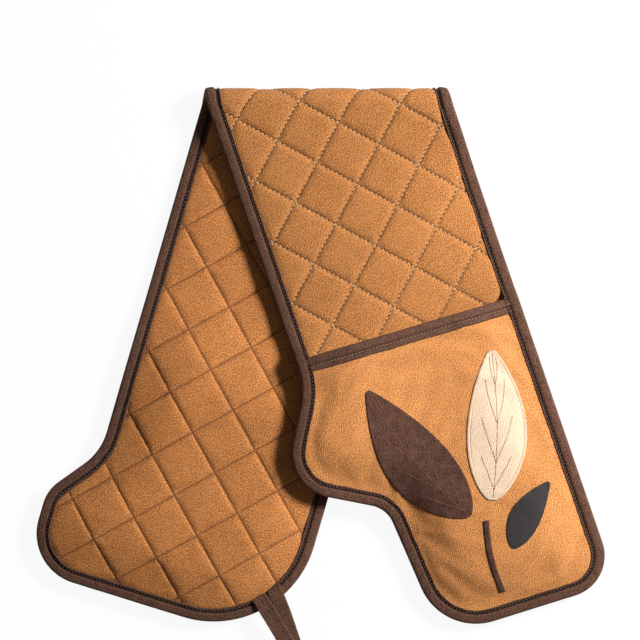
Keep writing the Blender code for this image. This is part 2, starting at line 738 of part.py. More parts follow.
def build_back(half, finishes):
    """Every layer of the half that lies on the table, its pocket underneath."""
    levels = {key: back_levels(half, local) for key, local in half.places().items()}
    cells = half.cells()
    core = {cell for cell in cells if cell[0][0] != "rim"}

    def swell(point):
        local = np.array((point[:2] @ half.across, point[:2] @ half.down))
        return quilt_swell(half, BACK_QUILT_CELL, BACK_QUILT_CROSSING, local, math.inf)

    for name, finish in (("face_cloth", "caramel"), ("wadding", "wadding")):
        low, high = level_sheets(half, name, levels, 0)
        add_object("back_" + name, solid_between(cells, low, high), finishes[finish])
    low, high = level_sheets(half, "lining", levels, 0)
    top = {key: np.array(point) for key, point in high.items()}
    add_object("back_lining", solid_between(cells, low, top, core, swell), finishes["lining"])
    for name, finish in (("pocket_face", "caramel"), ("pocket_wadding", "wadding"), ("pocket_lining", "lining")):
        low, high = level_sheets(half, name, levels, STRIP_ROWS, RIM)
        add_object("back_" + name, solid_between(half.cells(STRIP_ROWS), low, high), finishes[finish])
    binding = edge_binding(half, levels, lambda place, in_mitt: RIM, lambda place, in_mitt: place["lining"][1])
    add_object("back_edge_binding", binding, finishes["tape"])
    add_object("back_mouth_binding", mouth_band(half, levels, "pocket_face", "pocket_lining"), finishes["tape"])
    return cells, top, swell


def ground_under_front(cells, top, swell):
    """Points on the back half's upper side, close enough to lay the front half over them."""
    found = []
    for a, b, c, d in cells:
        taped = "rim" in (a[0], b[0], c[0], d[0])
        cover = CLEARANCE + TAPE if taped else QUILT_SWELL
        for one in np.linspace(0, 1, GROUND_STEPS + 1):
            for two in np.linspace(0, 1, GROUND_STEPS + 1):
                near = top[a] * (1 - one) + top[b] * one
                far = top[d] * (1 - one) + top[c] * one
                found.append(near * (1 - two) + far * two + (0, 0, cover + LAY_CLEARANCE))
    return np.array(found)


def build_front(half, ground, finishes):
    """Every layer of the half that lies on top, its pocket uppermost, with the leaf sprig."""
    levels = {key: front_levels(half, local, ground) for key, local in half.places().items()}
    cells = half.cells()
    quilted = {cell for cell in cells if cell[0][0] != "rim" and cell[2][0] <= STRIP_ROWS}

    def swell(point):
        local = np.array((point[:2] @ half.across, point[:2] @ half.down))
        return quilt_swell(half, FRONT_QUILT_CELL, FRONT_QUILT_CROSSING, local, MOUTH_DISTANCE)

    made = []
    for name, finish in (("lining", "lining"), ("wadding", "wadding")):
        low, high = level_sheets(half, name, levels, 0)
        made.append(add_object("front_" + name, solid_between(cells, low, high), finishes[finish]))
    low, high = level_sheets(half, "face_cloth", levels, 0)
    shape = solid_between(cells, low, high, quilted, swell)
    made.append(add_object("front_face_cloth", shape, finishes["caramel"]))
    pocket_cells = half.cells(STRIP_ROWS)
    for name, finish in (("pocket_lining", "lining"), ("pocket_wadding", "wadding"), ("pocket_face", "caramel")):
        low, high = level_sheets(half, name, levels, STRIP_ROWS, RIM)
        made.append(add_object("front_" + name, solid_between(pocket_cells, low, high), finishes[finish]))
    binding = edge_binding(
        half,
        levels,
        lambda place, in_mitt: place["lining"][0],
        lambda place, in_mitt: place["pocket_face" if in_mitt else "face_cloth"][1],
    )
    made.append(add_object("front_edge_binding", binding, finishes["tape"]))
    band = mouth_band(half, levels, "pocket_lining", "pocket_face")
    made.append(add_object("front_mouth_binding", band, finishes["tape"]))
    return made + build_sprig(half, (pocket_cells, high), finishes)


def build_sprig(half, pocket, finishes):
    """Three leaves, a stem and the cream leaf's stitched border, sewn on the front pocket."""
    ceiling = max(point[2] for point in pocket[1].values()) + OVERRUN
    made = []
    for name, leaf, finish in (
        ("leaf_large", BROWN_LEAF, "brown"),
        ("leaf_cream", CREAM_LEAF, "cream"),
        ("leaf_small", CHARCOAL_LEAF, "charcoal"),
    ):
        made += cut_from_cloth(name, half, pocket, leaf_prism(half, leaf, ceiling), PATCH_CLOTH, finishes[finish])
    stem = leaf_prism(half, STEM, ceiling, even=True)
    made += cut_from_cloth("leaf_stem", half, pocket, stem, PATCH_CLOTH, finishes["brown"])
    border = border_prism(half, CREAM_LEAF, ceiling)
    made += cut_from_cloth("leaf_cream_border", half, pocket, border, SATIN_HEIGHT, finishes["satin"])
    return made


def build_fold(front, back, finishes):
    """The bend of the strip between the two halves."""
    for name, finish in (("face_cloth", "caramel"), ("wadding", "wadding"), ("lining", "lining")):
        add_object("fold_" + name, fold_layer(front, back, name), finishes[finish])
    add_object("fold_binding_left", fold_binding(front, back, 0), finishes["tape"])
    add_object("fold_binding_right", fold_binding(front, back, -1), finishes["tape"])


def build_loop(half, finishes):
    """The hanging loop, at the inner edge of the binding round the back half's toe."""
    radial = np.array((math.cos(LOOP_AROUND_TOE), math.sin(LOOP_AROUND_TOE)))
    local = half.toe_centre + radial * (half.toe_radius - BINDING_WIDTH)
    heading_angle = LOOP_AROUND_TOE + LOOP_SLEW
    heading = math.cos(heading_angle) * half.across + math.sin(heading_angle) * half.down
    level = back_levels(half, local)["lining"][1] + 2 * CLEARANCE + TAPE + TAPE
    root = half.world(local)
    loop = add_object("hanging_loop", hanging_loop(root, heading, level), finishes["tape"])
    return loop, (*root, level), heading


def centre_on_origin(places):
    """Moves every mesh so that the glove stands over the origin, and gives the places moved alike."""
    meshes = [thing.data for thing in bpy.data.objects if thing.type == "MESH"]
    points = np.array([vertex.co for mesh in meshes for vertex in mesh.vertices])
    low, high = points.min(0), points.max(0)
    shift = Vector((-(low[0] + high[0]) / 2, -(low[1] + high[1]) / 2, -low[2]))
    for mesh in meshes:
        mesh.transform(Matrix.Translation(shift))
    return [Vector(place) + shift for place in places]


def main():
    for thing in list(bpy.data.objects):
        bpy.data.objects.remove(thing, do_unlink=True)
    finishes = {name: material(name, CLOTH_ROUGHNESS) for name in COLOURS}
    front = Half(FRONT_TILT, front_corners(), FRONT_MITT_ROWS)
    back = Half(BACK_TILT, back_corners(), BACK_MITT_ROWS)
    cells, top, swell = build_back(back, finishes)
    front_pieces = build_front(front, ground_under_front(cells, top, swell), finishes)
    build_fold(front, back, finishes)
    loop, loop_root, heading = build_loop(back, finishes)
    corner = (0.0, 0.0, 0.0)
    fold_place = (STRIP_WIDTH / 2, FOLD_AXIS_Y, FOLD_AXIS_HEIGHT)
    fold_at, loop_at, corner_at = centre_on_origin([fold_place, loop_root, corner])
    joint_empty("centre_fold_axis", fold_at, front_pieces)
    joint_empty("hanging_loop_axis", loop_at, [loop])
    print("centre fold axis through", [round(value, 5) for value in fold_at])
    print("hanging loop axis through", [round(value, 5) for value in loop_at], "heading", heading.round(4))
    print("corner of the halves' frames", [round(value, 5) for value in corner_at])


main()
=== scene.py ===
"""Dresses a folded double oven glove: quilted cloth, sewn tape and leaf patches."""

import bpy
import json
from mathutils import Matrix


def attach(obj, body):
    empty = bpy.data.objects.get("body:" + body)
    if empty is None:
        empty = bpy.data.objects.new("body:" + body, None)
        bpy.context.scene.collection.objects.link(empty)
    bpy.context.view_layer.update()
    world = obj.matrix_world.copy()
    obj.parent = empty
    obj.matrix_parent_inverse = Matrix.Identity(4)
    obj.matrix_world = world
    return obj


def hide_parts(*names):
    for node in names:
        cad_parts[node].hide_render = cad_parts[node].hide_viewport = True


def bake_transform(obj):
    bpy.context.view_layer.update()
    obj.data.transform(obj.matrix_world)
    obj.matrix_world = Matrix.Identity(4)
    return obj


bl_info = {
    "name": "Double oven glove",
    "version": (1, 0, 0),
    "blender": (4, 5, 0),
    "location": "3D View > Sidebar > Oven glove",
    "description": "Quilted strip, mitt pockets, tape, leaf patches and stage for an oven glove",
    "category": "Object",
}

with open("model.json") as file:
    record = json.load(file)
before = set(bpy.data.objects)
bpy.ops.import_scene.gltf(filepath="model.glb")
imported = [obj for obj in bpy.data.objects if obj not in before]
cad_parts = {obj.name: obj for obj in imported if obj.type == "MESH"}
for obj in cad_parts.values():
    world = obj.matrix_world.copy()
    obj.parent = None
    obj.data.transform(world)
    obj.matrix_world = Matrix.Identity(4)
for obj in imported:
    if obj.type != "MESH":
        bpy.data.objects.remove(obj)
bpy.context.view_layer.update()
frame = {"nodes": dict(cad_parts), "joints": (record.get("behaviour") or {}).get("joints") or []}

import collections
import functools
import json
import math

import bmesh
import bpy
import numpy as np
from bpy.props import FloatProperty, FloatVectorProperty, IntProperty, PointerProperty
from mathutils import Vector
from mathutils.bvhtree import BVHTree

MM = 0.001
JOINTS = {joint["name"]: joint["pos_m"] for joint in frame["joints"]}
FOLD_X, FOLD_Y, FOLD_HEIGHT = JOINTS["centre_fold"]
LOOP_ROOT = JOINTS["loop_swing"]

# The strip and how its halves lie, as the frame has them
STRIP_WIDTH = 180 * MM
MOUTH = 220 * MM
FRONT_MITT = 239 * MM
FRONT_TILT = math.radians(19.0)
BACK_TILT = math.radians(-16.2)
CORNER = np.array((FOLD_X - STRIP_WIDTH / 2, FOLD_Y + 8.5 * MM))
FOLD_OUTER = 11.2 * MM
FOLD_RUN = math.pi * FOLD_OUTER
FOLD_SWELL = 0.2

# Corners of each half's outline across and down the strip, with their radii, in millimetres
FRONT_CORNERS = (
    (0, 239, 60), (-41, 307.5, 35.5), (29.5, 350, 23), (38, 459, 46.5), (180, 463, 32.5),
)
BACK_CORNERS = ((0, 288.5, 46), (-32, 329, 31), (-32, 392, 40), (180, 396, 81.5))
CORNER_SHARE = 0.64
ARC_POINTS = 24

# A crossing of the quilting lines on each half and the lines' turn
FRONT_CROSSING = (17.9 * MM, 26.7 * MM)
FRONT_QUILTING = math.radians(47.3)
BACK_CROSSING = (14.3 * MM, 304.4 * MM)
BACK_QUILTING = math.radians(44.8)
# How far the grid is drawn together at the lines, how soon the simulated puffs fill, and the
# reach and form of the rim beside each line that is mixed with them
GATHER = 0.6
PUFF_EDGE = 0.5
RIM_REACH = 4 * MM
RIM_EDGE = 0.6
# The most that the simulation moves a point sideways, and how far stitches draw both sides in
SIDE_SHIFT = 0.8 * MM
SEAM_SINK = 0.6 * MM
UNDER_RISE = 1.1 * MM
# How far threads lie over the front's cloth, and over or under cloth that they are sunk in
PROUD_THREAD = 0.28 * MM
SUNK_THREAD = 0.08 * MM
# Rounds of smoothing of the heights that are measured on the solids
QUILT_ROUNDS, POCKET_ROUNDS = 30, 24
# How far the front pocket's mouth lies below its square place, at the strip's left and right edges
MOUTH_SLANT = (-2 * MM, 6.2 * MM)

# Cloth thicknesses over the wadding, and how low the cloth may lie above the floor
FACE = 1.1 * MM
POCKET_INSIDE = 0.9 * MM
CLOTH_LOWEST = 0.1 * MM
# The cloth's grid ends this far inside the tape
HIDDEN = 3.6 * MM

# The tape: its cloth, its gap to what it binds, its widths, and where its cloth is measured
TAPE = 1.0 * MM
TAPE_GAP = 0.15 * MM
TAPE_WIDTH = 11 * MM
BAND_WIDTH = 12 * MM
TAPE_INSETS = (4.6 * MM, 7.2 * MM, 9.8 * MM)
TAPE_LOWEST = TAPE + TAPE_GAP + 0.6 * MM
TAPE_SPAN = 2.2 * MM
FOLD_SPANS = 29
# Where the stitches run on a tape, as shares of its width, and the section's corners there
EDGE_SEAMS = {"front": 0.83, "back": 0.77}
MOUTH_SEAM = 0.63
LOWER_SEAM, UPPER_SEAM = 5, 24
SEAM_THREAD = np.array((0, 0, 0.2 * MM))
STITCH_SHARE = 0.7

# Leaves: base and tip in shares of the strip's width and of the mitt's length below the mouth
Leaf = collections.namedtuple("Leaf", "base tip width bow colour weave")
LEAVES = {
    "leaf_large": Leaf((0.49, 0.65), (0.25, 0.16), 25 * MM, 6 * MM, "brown", "suede"),
    "leaf_cream": Leaf((0.61, 0.62), (0.81, 0.16), 21 * MM, -4 * MM, "cream", "linen"),
    "leaf_small": Leaf((0.62, 0.79), (0.86, 0.63), 12 * MM, 3 * MM, "charcoal", "satin"),
    "leaf_stem": Leaf((0.52, 0.92), (0.55, 0.68), 2.4 * MM, 3 * MM, "brown", "suede"),
}
STEM_WIDTH = 4 * MM
LEAF_UNDER, LEAF_RIM, LEAF_TOP = 0.04 * MM, 0.25 * MM, 0.95 * MM

# The corners of a cell of a grid, in order round it
AROUND = ((0, 0), (1, 0), (1, 1), (0, 1))


def smooth(share):
    """A step from 0 to 1 with level ends."""
    share = np.clip(share, 0.0, 1.0)
    return share * share * (3 - 2 * share)


def lerp(first, second, share):
    """The value a share of the way from the first to the second."""
    return first + (second - first) * share


def waves(along, seed, pitch):
    """Smooth unevenness from -1 to 1 along a path, the same each time for one seed."""
    phases = np.random.default_rng(seed).uniform(0, 2 * math.pi, 5)
    ratios = (1.0, 1.7, 2.3, 3.1, 4.3)
    turns = 2 * math.pi * along / pitch
    return sum(np.sin(turns * ratio + phase) / ratio for ratio, phase in zip(ratios, phases)) / 2


# ---- Plans of the two halves ----


def inward(heading):
    """The side of a heading on which the cloth lies."""
    return np.array((heading[1], -heading[0]))


def rounded_path(corners):
    """Points along an open path with rounded corners, and the inward normal at each."""
    places = [np.array(corner[:2], float) for corner in corners]
    runs = [after - before for before, after in zip(places, places[1:])]
    lengths = [np.linalg.norm(run) for run in runs]
    headings = [run / length for run, length in zip(runs, lengths)]
    points, normals = [places[0]], [inward(headings[0])]
    for index in range(1, len(places) - 1):
        first, last = inward(headings[index - 1]), inward(headings[index])
        turn = math.acos(np.clip(first @ last, -1, 1))
        room = CORNER_SHARE * min(lengths[index - 1], lengths[index])
        radius = min(corners[index][2], room / math.tan(turn / 2))
        side = math.copysign(1, first @ headings[index])
        start = places[index] - headings[index - 1] * radius * math.tan(turn / 2)
        centre = start + first * radius * side
        for share in (step / ARC_POINTS for step in range(ARC_POINTS + 1)):
            normal = math.sin((1 - share) * turn) * first + math.sin(share * turn) * last
            normal = normal / math.sin(turn)
            points.append(centre - normal * radius * side)
            normals.append(normal)
    return np.array(points + [places[-1]]), np.array(normals + [inward(headings[-1])])


class Plan:
    """One half laid flat: u runs across the strip and v down it from the fold's left corner."""

    def __init__(self, tilt, corners, reach):
        self.tilt, self.reach = tilt, reach
        self.across = np.array((math.cos(tilt), math.sin(tilt)))
        self.down = np.array((math.sin(tilt), -math.cos(tilt)))
        self.left_start = (CORNER[1] - FOLD_Y) / math.cos(tilt)
        self.right_start = self.left_start + STRIP_WIDTH * math.tan(tilt)
        first = (0.0, self.left_start - reach, 0)
        last = (STRIP_WIDTH, self.right_start - reach, 0)
        self.edge, self.normal = rounded_path([first, *(np.array(corners) * MM), last])
        steps = np.linalg.norm(np.diff(self.edge, axis=0), axis=1)
        self.travel = np.concatenate([[0], np.cumsum(steps)])

    def world(self, uv):
        """Points of the plan as seen from above."""
        return CORNER + uv[..., :1] * self.across + uv[..., 1:2] * self.down

    def inset(self, uv):
        """How far points lie inside the edge; outside is below nought."""
        flat, batch = uv.reshape(-1, 2), 4000
        starts, runs = self.edge[:-1], np.diff(self.edge, axis=0)
        a, b = self.edge, np.roll(self.edge, -1, 0)
        rise = np.where(b[:, 1] == a[:, 1], 1, b[:, 1] - a[:, 1])
        found = np.empty(len(flat))
        for first in range(0, len(flat), batch):
            part = flat[first:first + batch, None]
            share = np.clip(((part - starts) * runs).sum(2) / (runs * runs).sum(1), 0, 1)
            away = np.linalg.norm(starts + runs * share[..., None] - part, axis=2).min(1)
            above = (a[:, 1] > part[..., 1]) != (b[:, 1] > part[..., 1])
            cross = a[:, 0] + (part[..., 1] - a[:, 1]) / rise * (b[:, 0] - a[:, 0])
            inside = (above & (part[..., 0] < cross)).sum(1) % 2 == 1
            found[first:first + batch] = np.where(inside, away, -away)
        return found.reshape(uv.shape[:-1])

    def stations(self):
        """Places round the edge from the fold to the fold, and the way inward at each."""
        start, stop = self.reach, self.travel[-1] - self.reach
        walk = np.linspace(start, stop, int((stop - start) / TAPE_SPAN) + 1)
        edge, way = (
            np.stack([np.interp(walk, self.travel, line[:, k]) for k in range(2)], 1)
            for line in (self.edge, self.normal)
        )
        way /= np.linalg.norm(way, axis=1)[:, None]
        # Beside the strip the sections turn little by little until they lie level with the fold
        for index, (u, v) in enumerate(edge):
            left = u < STRIP_WIDTH / 2
            begin = self.left_start if left else self.right_start
            if v < MOUTH:
                share = (v - begin) / (MOUTH - begin)
                slope = lerp(self.right_start - self.left_start, 0, share) / STRIP_WIDTH
                way[index] = np.array((1, slope)) * (1 if left else -1)
        return walk - start, edge, way


@functools.lru_cache
def front_plan():
    return Plan(FRONT_TILT, FRONT_CORNERS, FOLD_RUN + 10 * MM)


@functools.lru_cache
def back_plan():
    return Plan(BACK_TILT, BACK_CORNERS, 10 * MM)


def mouth_line(u):
    """How far down the strip the front pocket's mouth runs, across the strip."""
    return MOUTH + lerp(*MOUTH_SLANT, u / STRIP_WIDTH)


# ---- Sheets of cloth on a close grid ----


@functools.lru_cache
def solid_tree(node):
    """The frame's solid, ready for measuring heights."""
    mesh = frame["nodes"][node].data
    faces = [tuple(polygon.vertices) for polygon in mesh.polygons]
    return BVHTree.FromPolygons([vertex.co.copy() for vertex in mesh.vertices], faces)


def heights(node, places, above):
    """Height of a solid's upper or under side at places in plan."""
    tree = solid_tree(node)
    start, way = (1.0, Vector((0, 0, -1))) if above else (-1.0, Vector((0, 0, 1)))
    found = np.full(len(places), np.nan)
    for index, (x, y) in enumerate(places):
        hit = tree.ray_cast(Vector((x, y, start)), way)[0]
        if hit is not None:
            found[index] = hit.z
    return found


def neighbours(field, known):
    """Sum and number of the known values beside each node."""
    total, count = np.zeros(field.shape), np.zeros(field.shape)
    value = np.where(known, field, 0)
    for axis in (0, 1):
        for way in (1, -1):
            total += np.roll(value, way, axis)
            count += np.roll(known, way, axis)
    return total, count


def gathered(place):
    """Places across a cell of the quilting, from line to line, drawn together toward the lines."""
    return place - GATHER * np.sin(2 * math.pi * place) / (2 * math.pi)


class Cloth:
    """A sheet of cloth on a grid in a half's plan; lines gives a quilted one's steps in a cell."""

    def __init__(self, plan, origin, step, turn, wanted, lines=0):
        self.plan, self.origin, self.step, self.lines = plan, np.array(origin), step, lines
        self.axes = np.array(((math.cos(turn), math.sin(turn)), (math.sin(turn), -math.cos(turn))))
        flat = (plan.edge - self.origin) @ self.axes.T / step
        margin = 4
        self.low, high = np.floor(flat.min(0)) - margin, np.ceil(flat.max(0)) + margin
        spans = (np.arange(first, last + 1) for first, last in zip(self.low, high))
        self.number = np.stack(np.meshgrid(*spans, indexing="ij"), 2)
        spaced = gathered(self.number / lines) * lines if lines else self.number
        self.uv = self.origin + spaced @ self.axes * step
        self.inset = plan.inset(self.uv)
        kept = wanted(self.uv, self.inset)
        whole = kept[:-1, :-1] & kept[1:, :-1] & kept[1:, 1:] & kept[:-1, 1:]
        self.kept = np.zeros(kept.shape, bool)
        for a, b in AROUND:
            self.kept[a:a + whole.shape[0], b:b + whole.shape[1]] |= whole
        index = np.full(kept.shape, -1)
        index[self.kept] = np.arange(self.kept.sum())
        i, j = np.nonzero(whole)
        self.cells = np.stack([index[i + a, j + b] for a, b in AROUND], 1)
        points = plan.world(self.uv[self.kept])
        a, b, c = (points[self.cells[0, k]] for k in range(3))
        if (b - a)[0] * (c - a)[1] - (b - a)[1] * (c - a)[0] < 0:
            self.cells = self.cells[:, ::-1]

    def spread_out(self, values, rounds):
        """A field on the whole grid, carried outward from the cloth's own nodes."""
        field = np.zeros(self.kept.shape)
        known = self.kept.copy()
        field[known] = values
        bad = ~np.isfinite(field)
        known &= ~bad
        field[bad] = 0
        for _ in range(rounds):
            total, count = neighbours(field, known)
            fresh = ~known & (count > 0)
            field[fresh] = total[fresh] / count[fresh]
            known |= fresh
        return field

    def softened(self, values, rounds):
        """A field with its facets smoothed away."""
        field = self.spread_out(values, 10)
        known = self.inset > -6 * MM
        for _ in range(rounds):
            total, count = neighbours(field, known)
            field = np.where(known, (field + total) / (1 + count), field)
        return self.spread_out(field[self.kept], 8)

    def lay(self, node, above, below, rounds):
        """Takes the heights of both sides from a solid, moved out by the cloth and smoothed."""
        places = self.plan.world(self.uv[self.kept])
        places[:, 1] = np.minimum(places[:, 1], FOLD_Y - 1.5 * MM)
        self.top = self.softened(heights(node, places, True) + above, rounds)
        self.bottom = self.softened(heights(node, places, False) - below, rounds)

    def at(self, field, uv):
        """A field's value at any place of the plan."""
        place = (np.asarray(uv) - self.origin) @ self.axes.T / self.step
        if self.lines:
            nodes = np.linspace(0, 1, self.lines + 1)
            whole = np.floor(place / self.lines)
            share = np.interp(place / self.lines - whole, gathered(nodes), nodes)
            place = (whole + share) * self.lines
        place -= self.low
        place = np.clip(place, 0, np.array(field.shape[:2]) - 1.001)
        i, j = place[..., 0].astype(int), place[..., 1].astype(int)
        s, t = place[..., 0] - i, place[..., 1] - j
        if field.ndim == 3:
            s, t = s[..., None], t[..., None]
        near = field[i, j] * (1 - s) + field[i + 1, j] * s
        far = field[i, j + 1] * (1 - s) + field[i + 1, j + 1] * s
        return near * (1 - t) + far * t


def blown(cloth, held, pressure, growth, stiffness, frames):
    """Shifts of the cloth's nodes once air has filled it between the nodes that are held."""
    mesh = bpy.data.meshes.new("blown")
    flat = cloth.uv[cloth.kept]
    flat = np.c_[flat, np.zeros(len(flat))]
    mesh.from_pydata(flat.tolist(), [], cloth.cells.tolist())
    if mesh.polygons[0].normal.z < 0:
        mesh.flip_normals()
    thing = bpy.data.objects.new("blown", mesh)
    bpy.context.scene.collection.objects.link(thing)
    group = thing.vertex_groups.new(name="sewn")
    group.add(np.nonzero(held[cloth.kept])[0].tolist(), 1.0, "REPLACE")
    modifier = thing.modifiers.new("cloth", "CLOTH")
    settings = modifier.settings
    settings.vertex_group_mass = "sewn"
    settings.use_pressure = True
    settings.uniform_pressure_force = pressure
    settings.effector_weights.gravity = 0
    settings.shrink_min = -growth
    settings.mass = 0.3
    settings.bending_stiffness = 0.5
    settings.tension_stiffness = settings.compression_stiffness = stiffness
    settings.shear_stiffness = stiffness / 3
    modifier.collision_settings.use_collision = False
    modifier.point_cache.frame_start = 1
    modifier.point_cache.frame_end = frames
    for number in range(1, frames + 1):
        bpy.context.scene.frame_set(number)
    shaped = thing.evaluated_get(bpy.context.evaluated_depsgraph_get()).data
    places = np.empty(flat.size)
    shaped.vertices.foreach_get("co", places)
    moved = np.zeros((*cloth.kept.shape, 3))
    moved[cloth.kept] = places.reshape(-1, 3) - flat
    bpy.context.scene.frame_set(1)
    bpy.data.objects.remove(thing, do_unlink=True)
    bpy.data.meshes.remove(mesh)
    return moved


def pillows(cloth, cell, height):
    """Plain pillows between the quilting lines, where the cloth is out of sight."""
    place = gathered(cloth.number * cloth.step / cell)
    hump = np.abs(np.sin(math.pi * place[..., 0]) * np.sin(math.pi * place[..., 1]))
    return height * hump**0.6


def quilt_shift(cloth, cell, seen, puff):
    """Shifts of quilted cloth: filled by pressure where it is seen, plain pillows elsewhere."""
    shift = np.zeros((*cloth.kept.shape, 3))
    shift[..., 2] = pillows(cloth, cell, puff)
    on_line = (cloth.number % cloth.lines == 0).any(2)
    near_edge = cloth.inset < TAPE_WIDTH - 3 * MM
    held = on_line | near_edge | (seen < 0.01)
    moved = blown(cloth, held, pressure=15, growth=0.007, stiffness=8, frames=24)
    moved *= puff / np.percentile(moved[..., 2][cloth.kept & (seen > 0.99)], 97)
    moved[..., :2] = np.clip(moved[..., :2], -SIDE_SHIFT, SIDE_SHIFT)
    filled = np.clip(moved[..., 2] / puff, 0, 1.25) ** PUFF_EDGE
    across = gathered(cloth.number / cloth.lines)
    from_line = np.abs(across - np.round(across)).min(2) * cell
    rim = np.clip(from_line / RIM_REACH, 0, 1) ** RIM_EDGE
    moved[..., 2] = puff * lerp(rim, filled, 0.5)
    share = (seen * smooth((cloth.inset - TAPE_WIDTH) / (5 * MM)))[..., None]
    shift = shift * (1 - share) + moved * share
    fade = smooth((cloth.inset - TAPE_WIDTH + 3 * MM) / (5 * MM))
    return shift * fade[..., None]


@functools.lru_cache
def front_strip():
    """The front half's quilted cloth, carried on round the fold."""
    sizes = bpy.context.scene.glove_sizes
    cell, lines, plan = sizes.front_cell, sizes.grid, front_plan()
    # The grid runs past the fold, so that the cut at its end is clean
    limit = FOLD_Y + FOLD_RUN + 7 * MM

    def wanted(uv, inset):
        return (inset > HIDDEN) & (plan.world(uv)[..., 1] < limit)

    cloth = Cloth(plan, FRONT_CROSSING, cell / lines, FRONT_QUILTING, wanted, lines)
    cloth.lay("front_wadding", FACE, FACE, QUILT_ROUNDS)
    seen = 1 - smooth((cloth.uv[..., 1] - MOUTH - 14 * MM) / (10 * MM))
    cloth.shift = quilt_shift(cloth, cell, seen, sizes.puff)
    # The puffs are flatter at the middle of the fold and fade out toward its end
    beyond = (plan.world(cloth.uv)[..., 1] - FOLD_Y) / FOLD_RUN
    calm = 0.4 * np.exp(-((beyond - 0.5) / 0.22) ** 2)
    cloth.shift *= ((1 - calm) * (1 - smooth((beyond - 0.72) / 0.25)))[..., None]
    return cloth


@functools.lru_cache
def back_strip():
    """The back half's quilted cloth, a little flatter than the front's."""
    sizes = bpy.context.scene.glove_sizes
    cell, lines, plan = sizes.back_cell, sizes.grid, back_plan()

    def wanted(uv, inset):
        return inset > HIDDEN

    cloth = Cloth(plan, BACK_CROSSING, cell / lines, BACK_QUILTING, wanted, lines)
    cloth.lay("back_wadding", FACE, FACE, QUILT_ROUNDS)
    cloth.shift = quilt_shift(cloth, cell, np.ones(cloth.kept.shape), 0.8 * sizes.puff)
    beyond = (FOLD_Y - plan.world(cloth.uv)[..., 1]) / (8 * MM)
    cloth.shift *= smooth(beyond)[..., None]
    return cloth


def pocket_cloth(plan, node, above, below):
    """A pocket's cloth, with the soft waves that loose cloth has."""
    step, most = bpy.context.scene.glove_sizes.pocket_grid, 2.2 * MM

    def wanted(uv, inset):
        return (inset > HIDDEN) & (uv[..., 1] > MOUTH + 1.4 * MM)

    cloth = Cloth(plan, (STRIP_WIDTH / 2, MOUTH + 2 * MM), step, 0, wanted)
    cloth.lay(node, above, below, POCKET_ROUNDS)
    cloth.shift = np.zeros((*cloth.kept.shape, 3))
    below_mouth = cloth.uv[..., 1] - MOUTH
    held = (cloth.inset < TAPE_WIDTH - 1 * MM) | (below_mouth < BAND_WIDTH - 2 * MM)
    moved = blown(cloth, held, pressure=0.25, growth=0.006, stiffness=15, frames=20)
    inner = smooth((cloth.inset - TAPE_WIDTH) / (6 * MM))
    inner = inner * smooth((below_mouth - BAND_WIDTH) / (6 * MM))
    cloth.shift = np.clip(moved, -most, most) * inner[..., None]
    if plan is front_plan():
        eased = 1 - smooth((below_mouth - BAND_WIDTH) / (70 * MM))
        cloth.shift[..., 1] += (mouth_line(cloth.uv[..., 0]) - MOUTH) * eased
    return cloth


@functools.lru_cache
def front_pocket():
    return pocket_cloth(front_plan(), "front_pocket_wadding", FACE, POCKET_INSIDE)


@functools.lru_cache
def back_pocket():
    return pocket_cloth(back_plan(), "back_pocket_wadding", POCKET_INSIDE, FACE)


# ---- Meshes ----


def raw_mesh(name, points, faces):
    """A mesh from points and faces, as arrays or lists."""
    mesh = bpy.data.meshes.new(name)
    rings = [tuple(int(k) for k in face) for face in faces]
    mesh.from_pydata(np.asarray(points).tolist(), [], rings)
    return mesh


def riding(name, mesh, body):
    """An object that shows a mesh and rides on a body of the frame, where one is given."""
    piece = bpy.data.objects.new(name, mesh)
    bpy.context.scene.collection.objects.link(piece)
    if body:
        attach(piece, body)
    return piece


def new_piece(name, points, faces, finish, body, uv, puff=None, normals=None):
    """A finished piece from points and faces, with its own map and a puff value at each point;
    where it is low the material paints shade.
    """
    mesh = raw_mesh(name, points, faces)
    mesh.shade_smooth()
    corners = np.empty(len(mesh.loops), int)
    mesh.loops.foreach_get("vertex_index", corners)
    layer = mesh.uv_layers.new(name="UVMap")
    layer.data.foreach_set("uv", np.asarray(uv, np.float32)[corners].ravel())
    full = np.asarray(np.ones(len(points)) if puff is None else puff, np.float32)
    mesh.attributes.new("puff", "FLOAT", "POINT").data.foreach_set("value", full)
    if normals is not None:
        mesh.normals_split_custom_set_from_vertices(np.asarray(normals).tolist())
    mesh.materials.append(finish)
    return riding(name, mesh, body)


def sheet_piece(name, top, bottom, faces, finish, body, uv, puff=None, normals=None):
    """A closed piece of cloth from its upper and under side, which share their map."""
    points, shell = closed(top, bottom, faces)
    full = None if puff is None else np.concatenate([puff, puff])
    return new_piece(name, points, shell, finish, body, np.vstack([uv, uv]), full, normals)


def blended(piece):
    """Bakes a piece's place into its mesh; the piece rides on neither half."""
    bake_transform(piece)


def vertex_normals(points, faces):
    """The smooth normal of an open sheet at each of its points."""
    mesh = raw_mesh("normals", points, faces)
    found = np.empty(len(points) * 3)
    mesh.vertices.foreach_get("normal", found)
    bpy.data.meshes.remove(mesh)
    return found.reshape(-1, 3)


def cut_sheet(cloth, lines):
    """The cloth's plan as points and faces, cut exactly along lines that run across the world."""
    work = bmesh.new()
    corners = [work.verts.new((u, v, 0)) for u, v in cloth.uv[cloth.kept]]
    for cell in cloth.cells:
        work.faces.new([corners[k] for k in cell])
    plan = cloth.plan
    normal = (plan.across[1], plan.down[1], 0)
    for line in lines:
        point = np.linalg.solve(np.array((plan.across, plan.down)).T, np.array((0, line)) - CORNER)
        everything = work.verts[:] + work.edges[:] + work.faces[:]
        bmesh.ops.bisect_plane(
            work, geom=everything, dist=1e-6, plane_co=(*point, 0), plane_no=normal
        )
    work.verts.index_update()
    uv = np.array([vertex.co[:2] for vertex in work.verts])
    faces = [[vertex.index for vertex in face.verts] for face in work.faces]
    work.free()
    return uv, faces


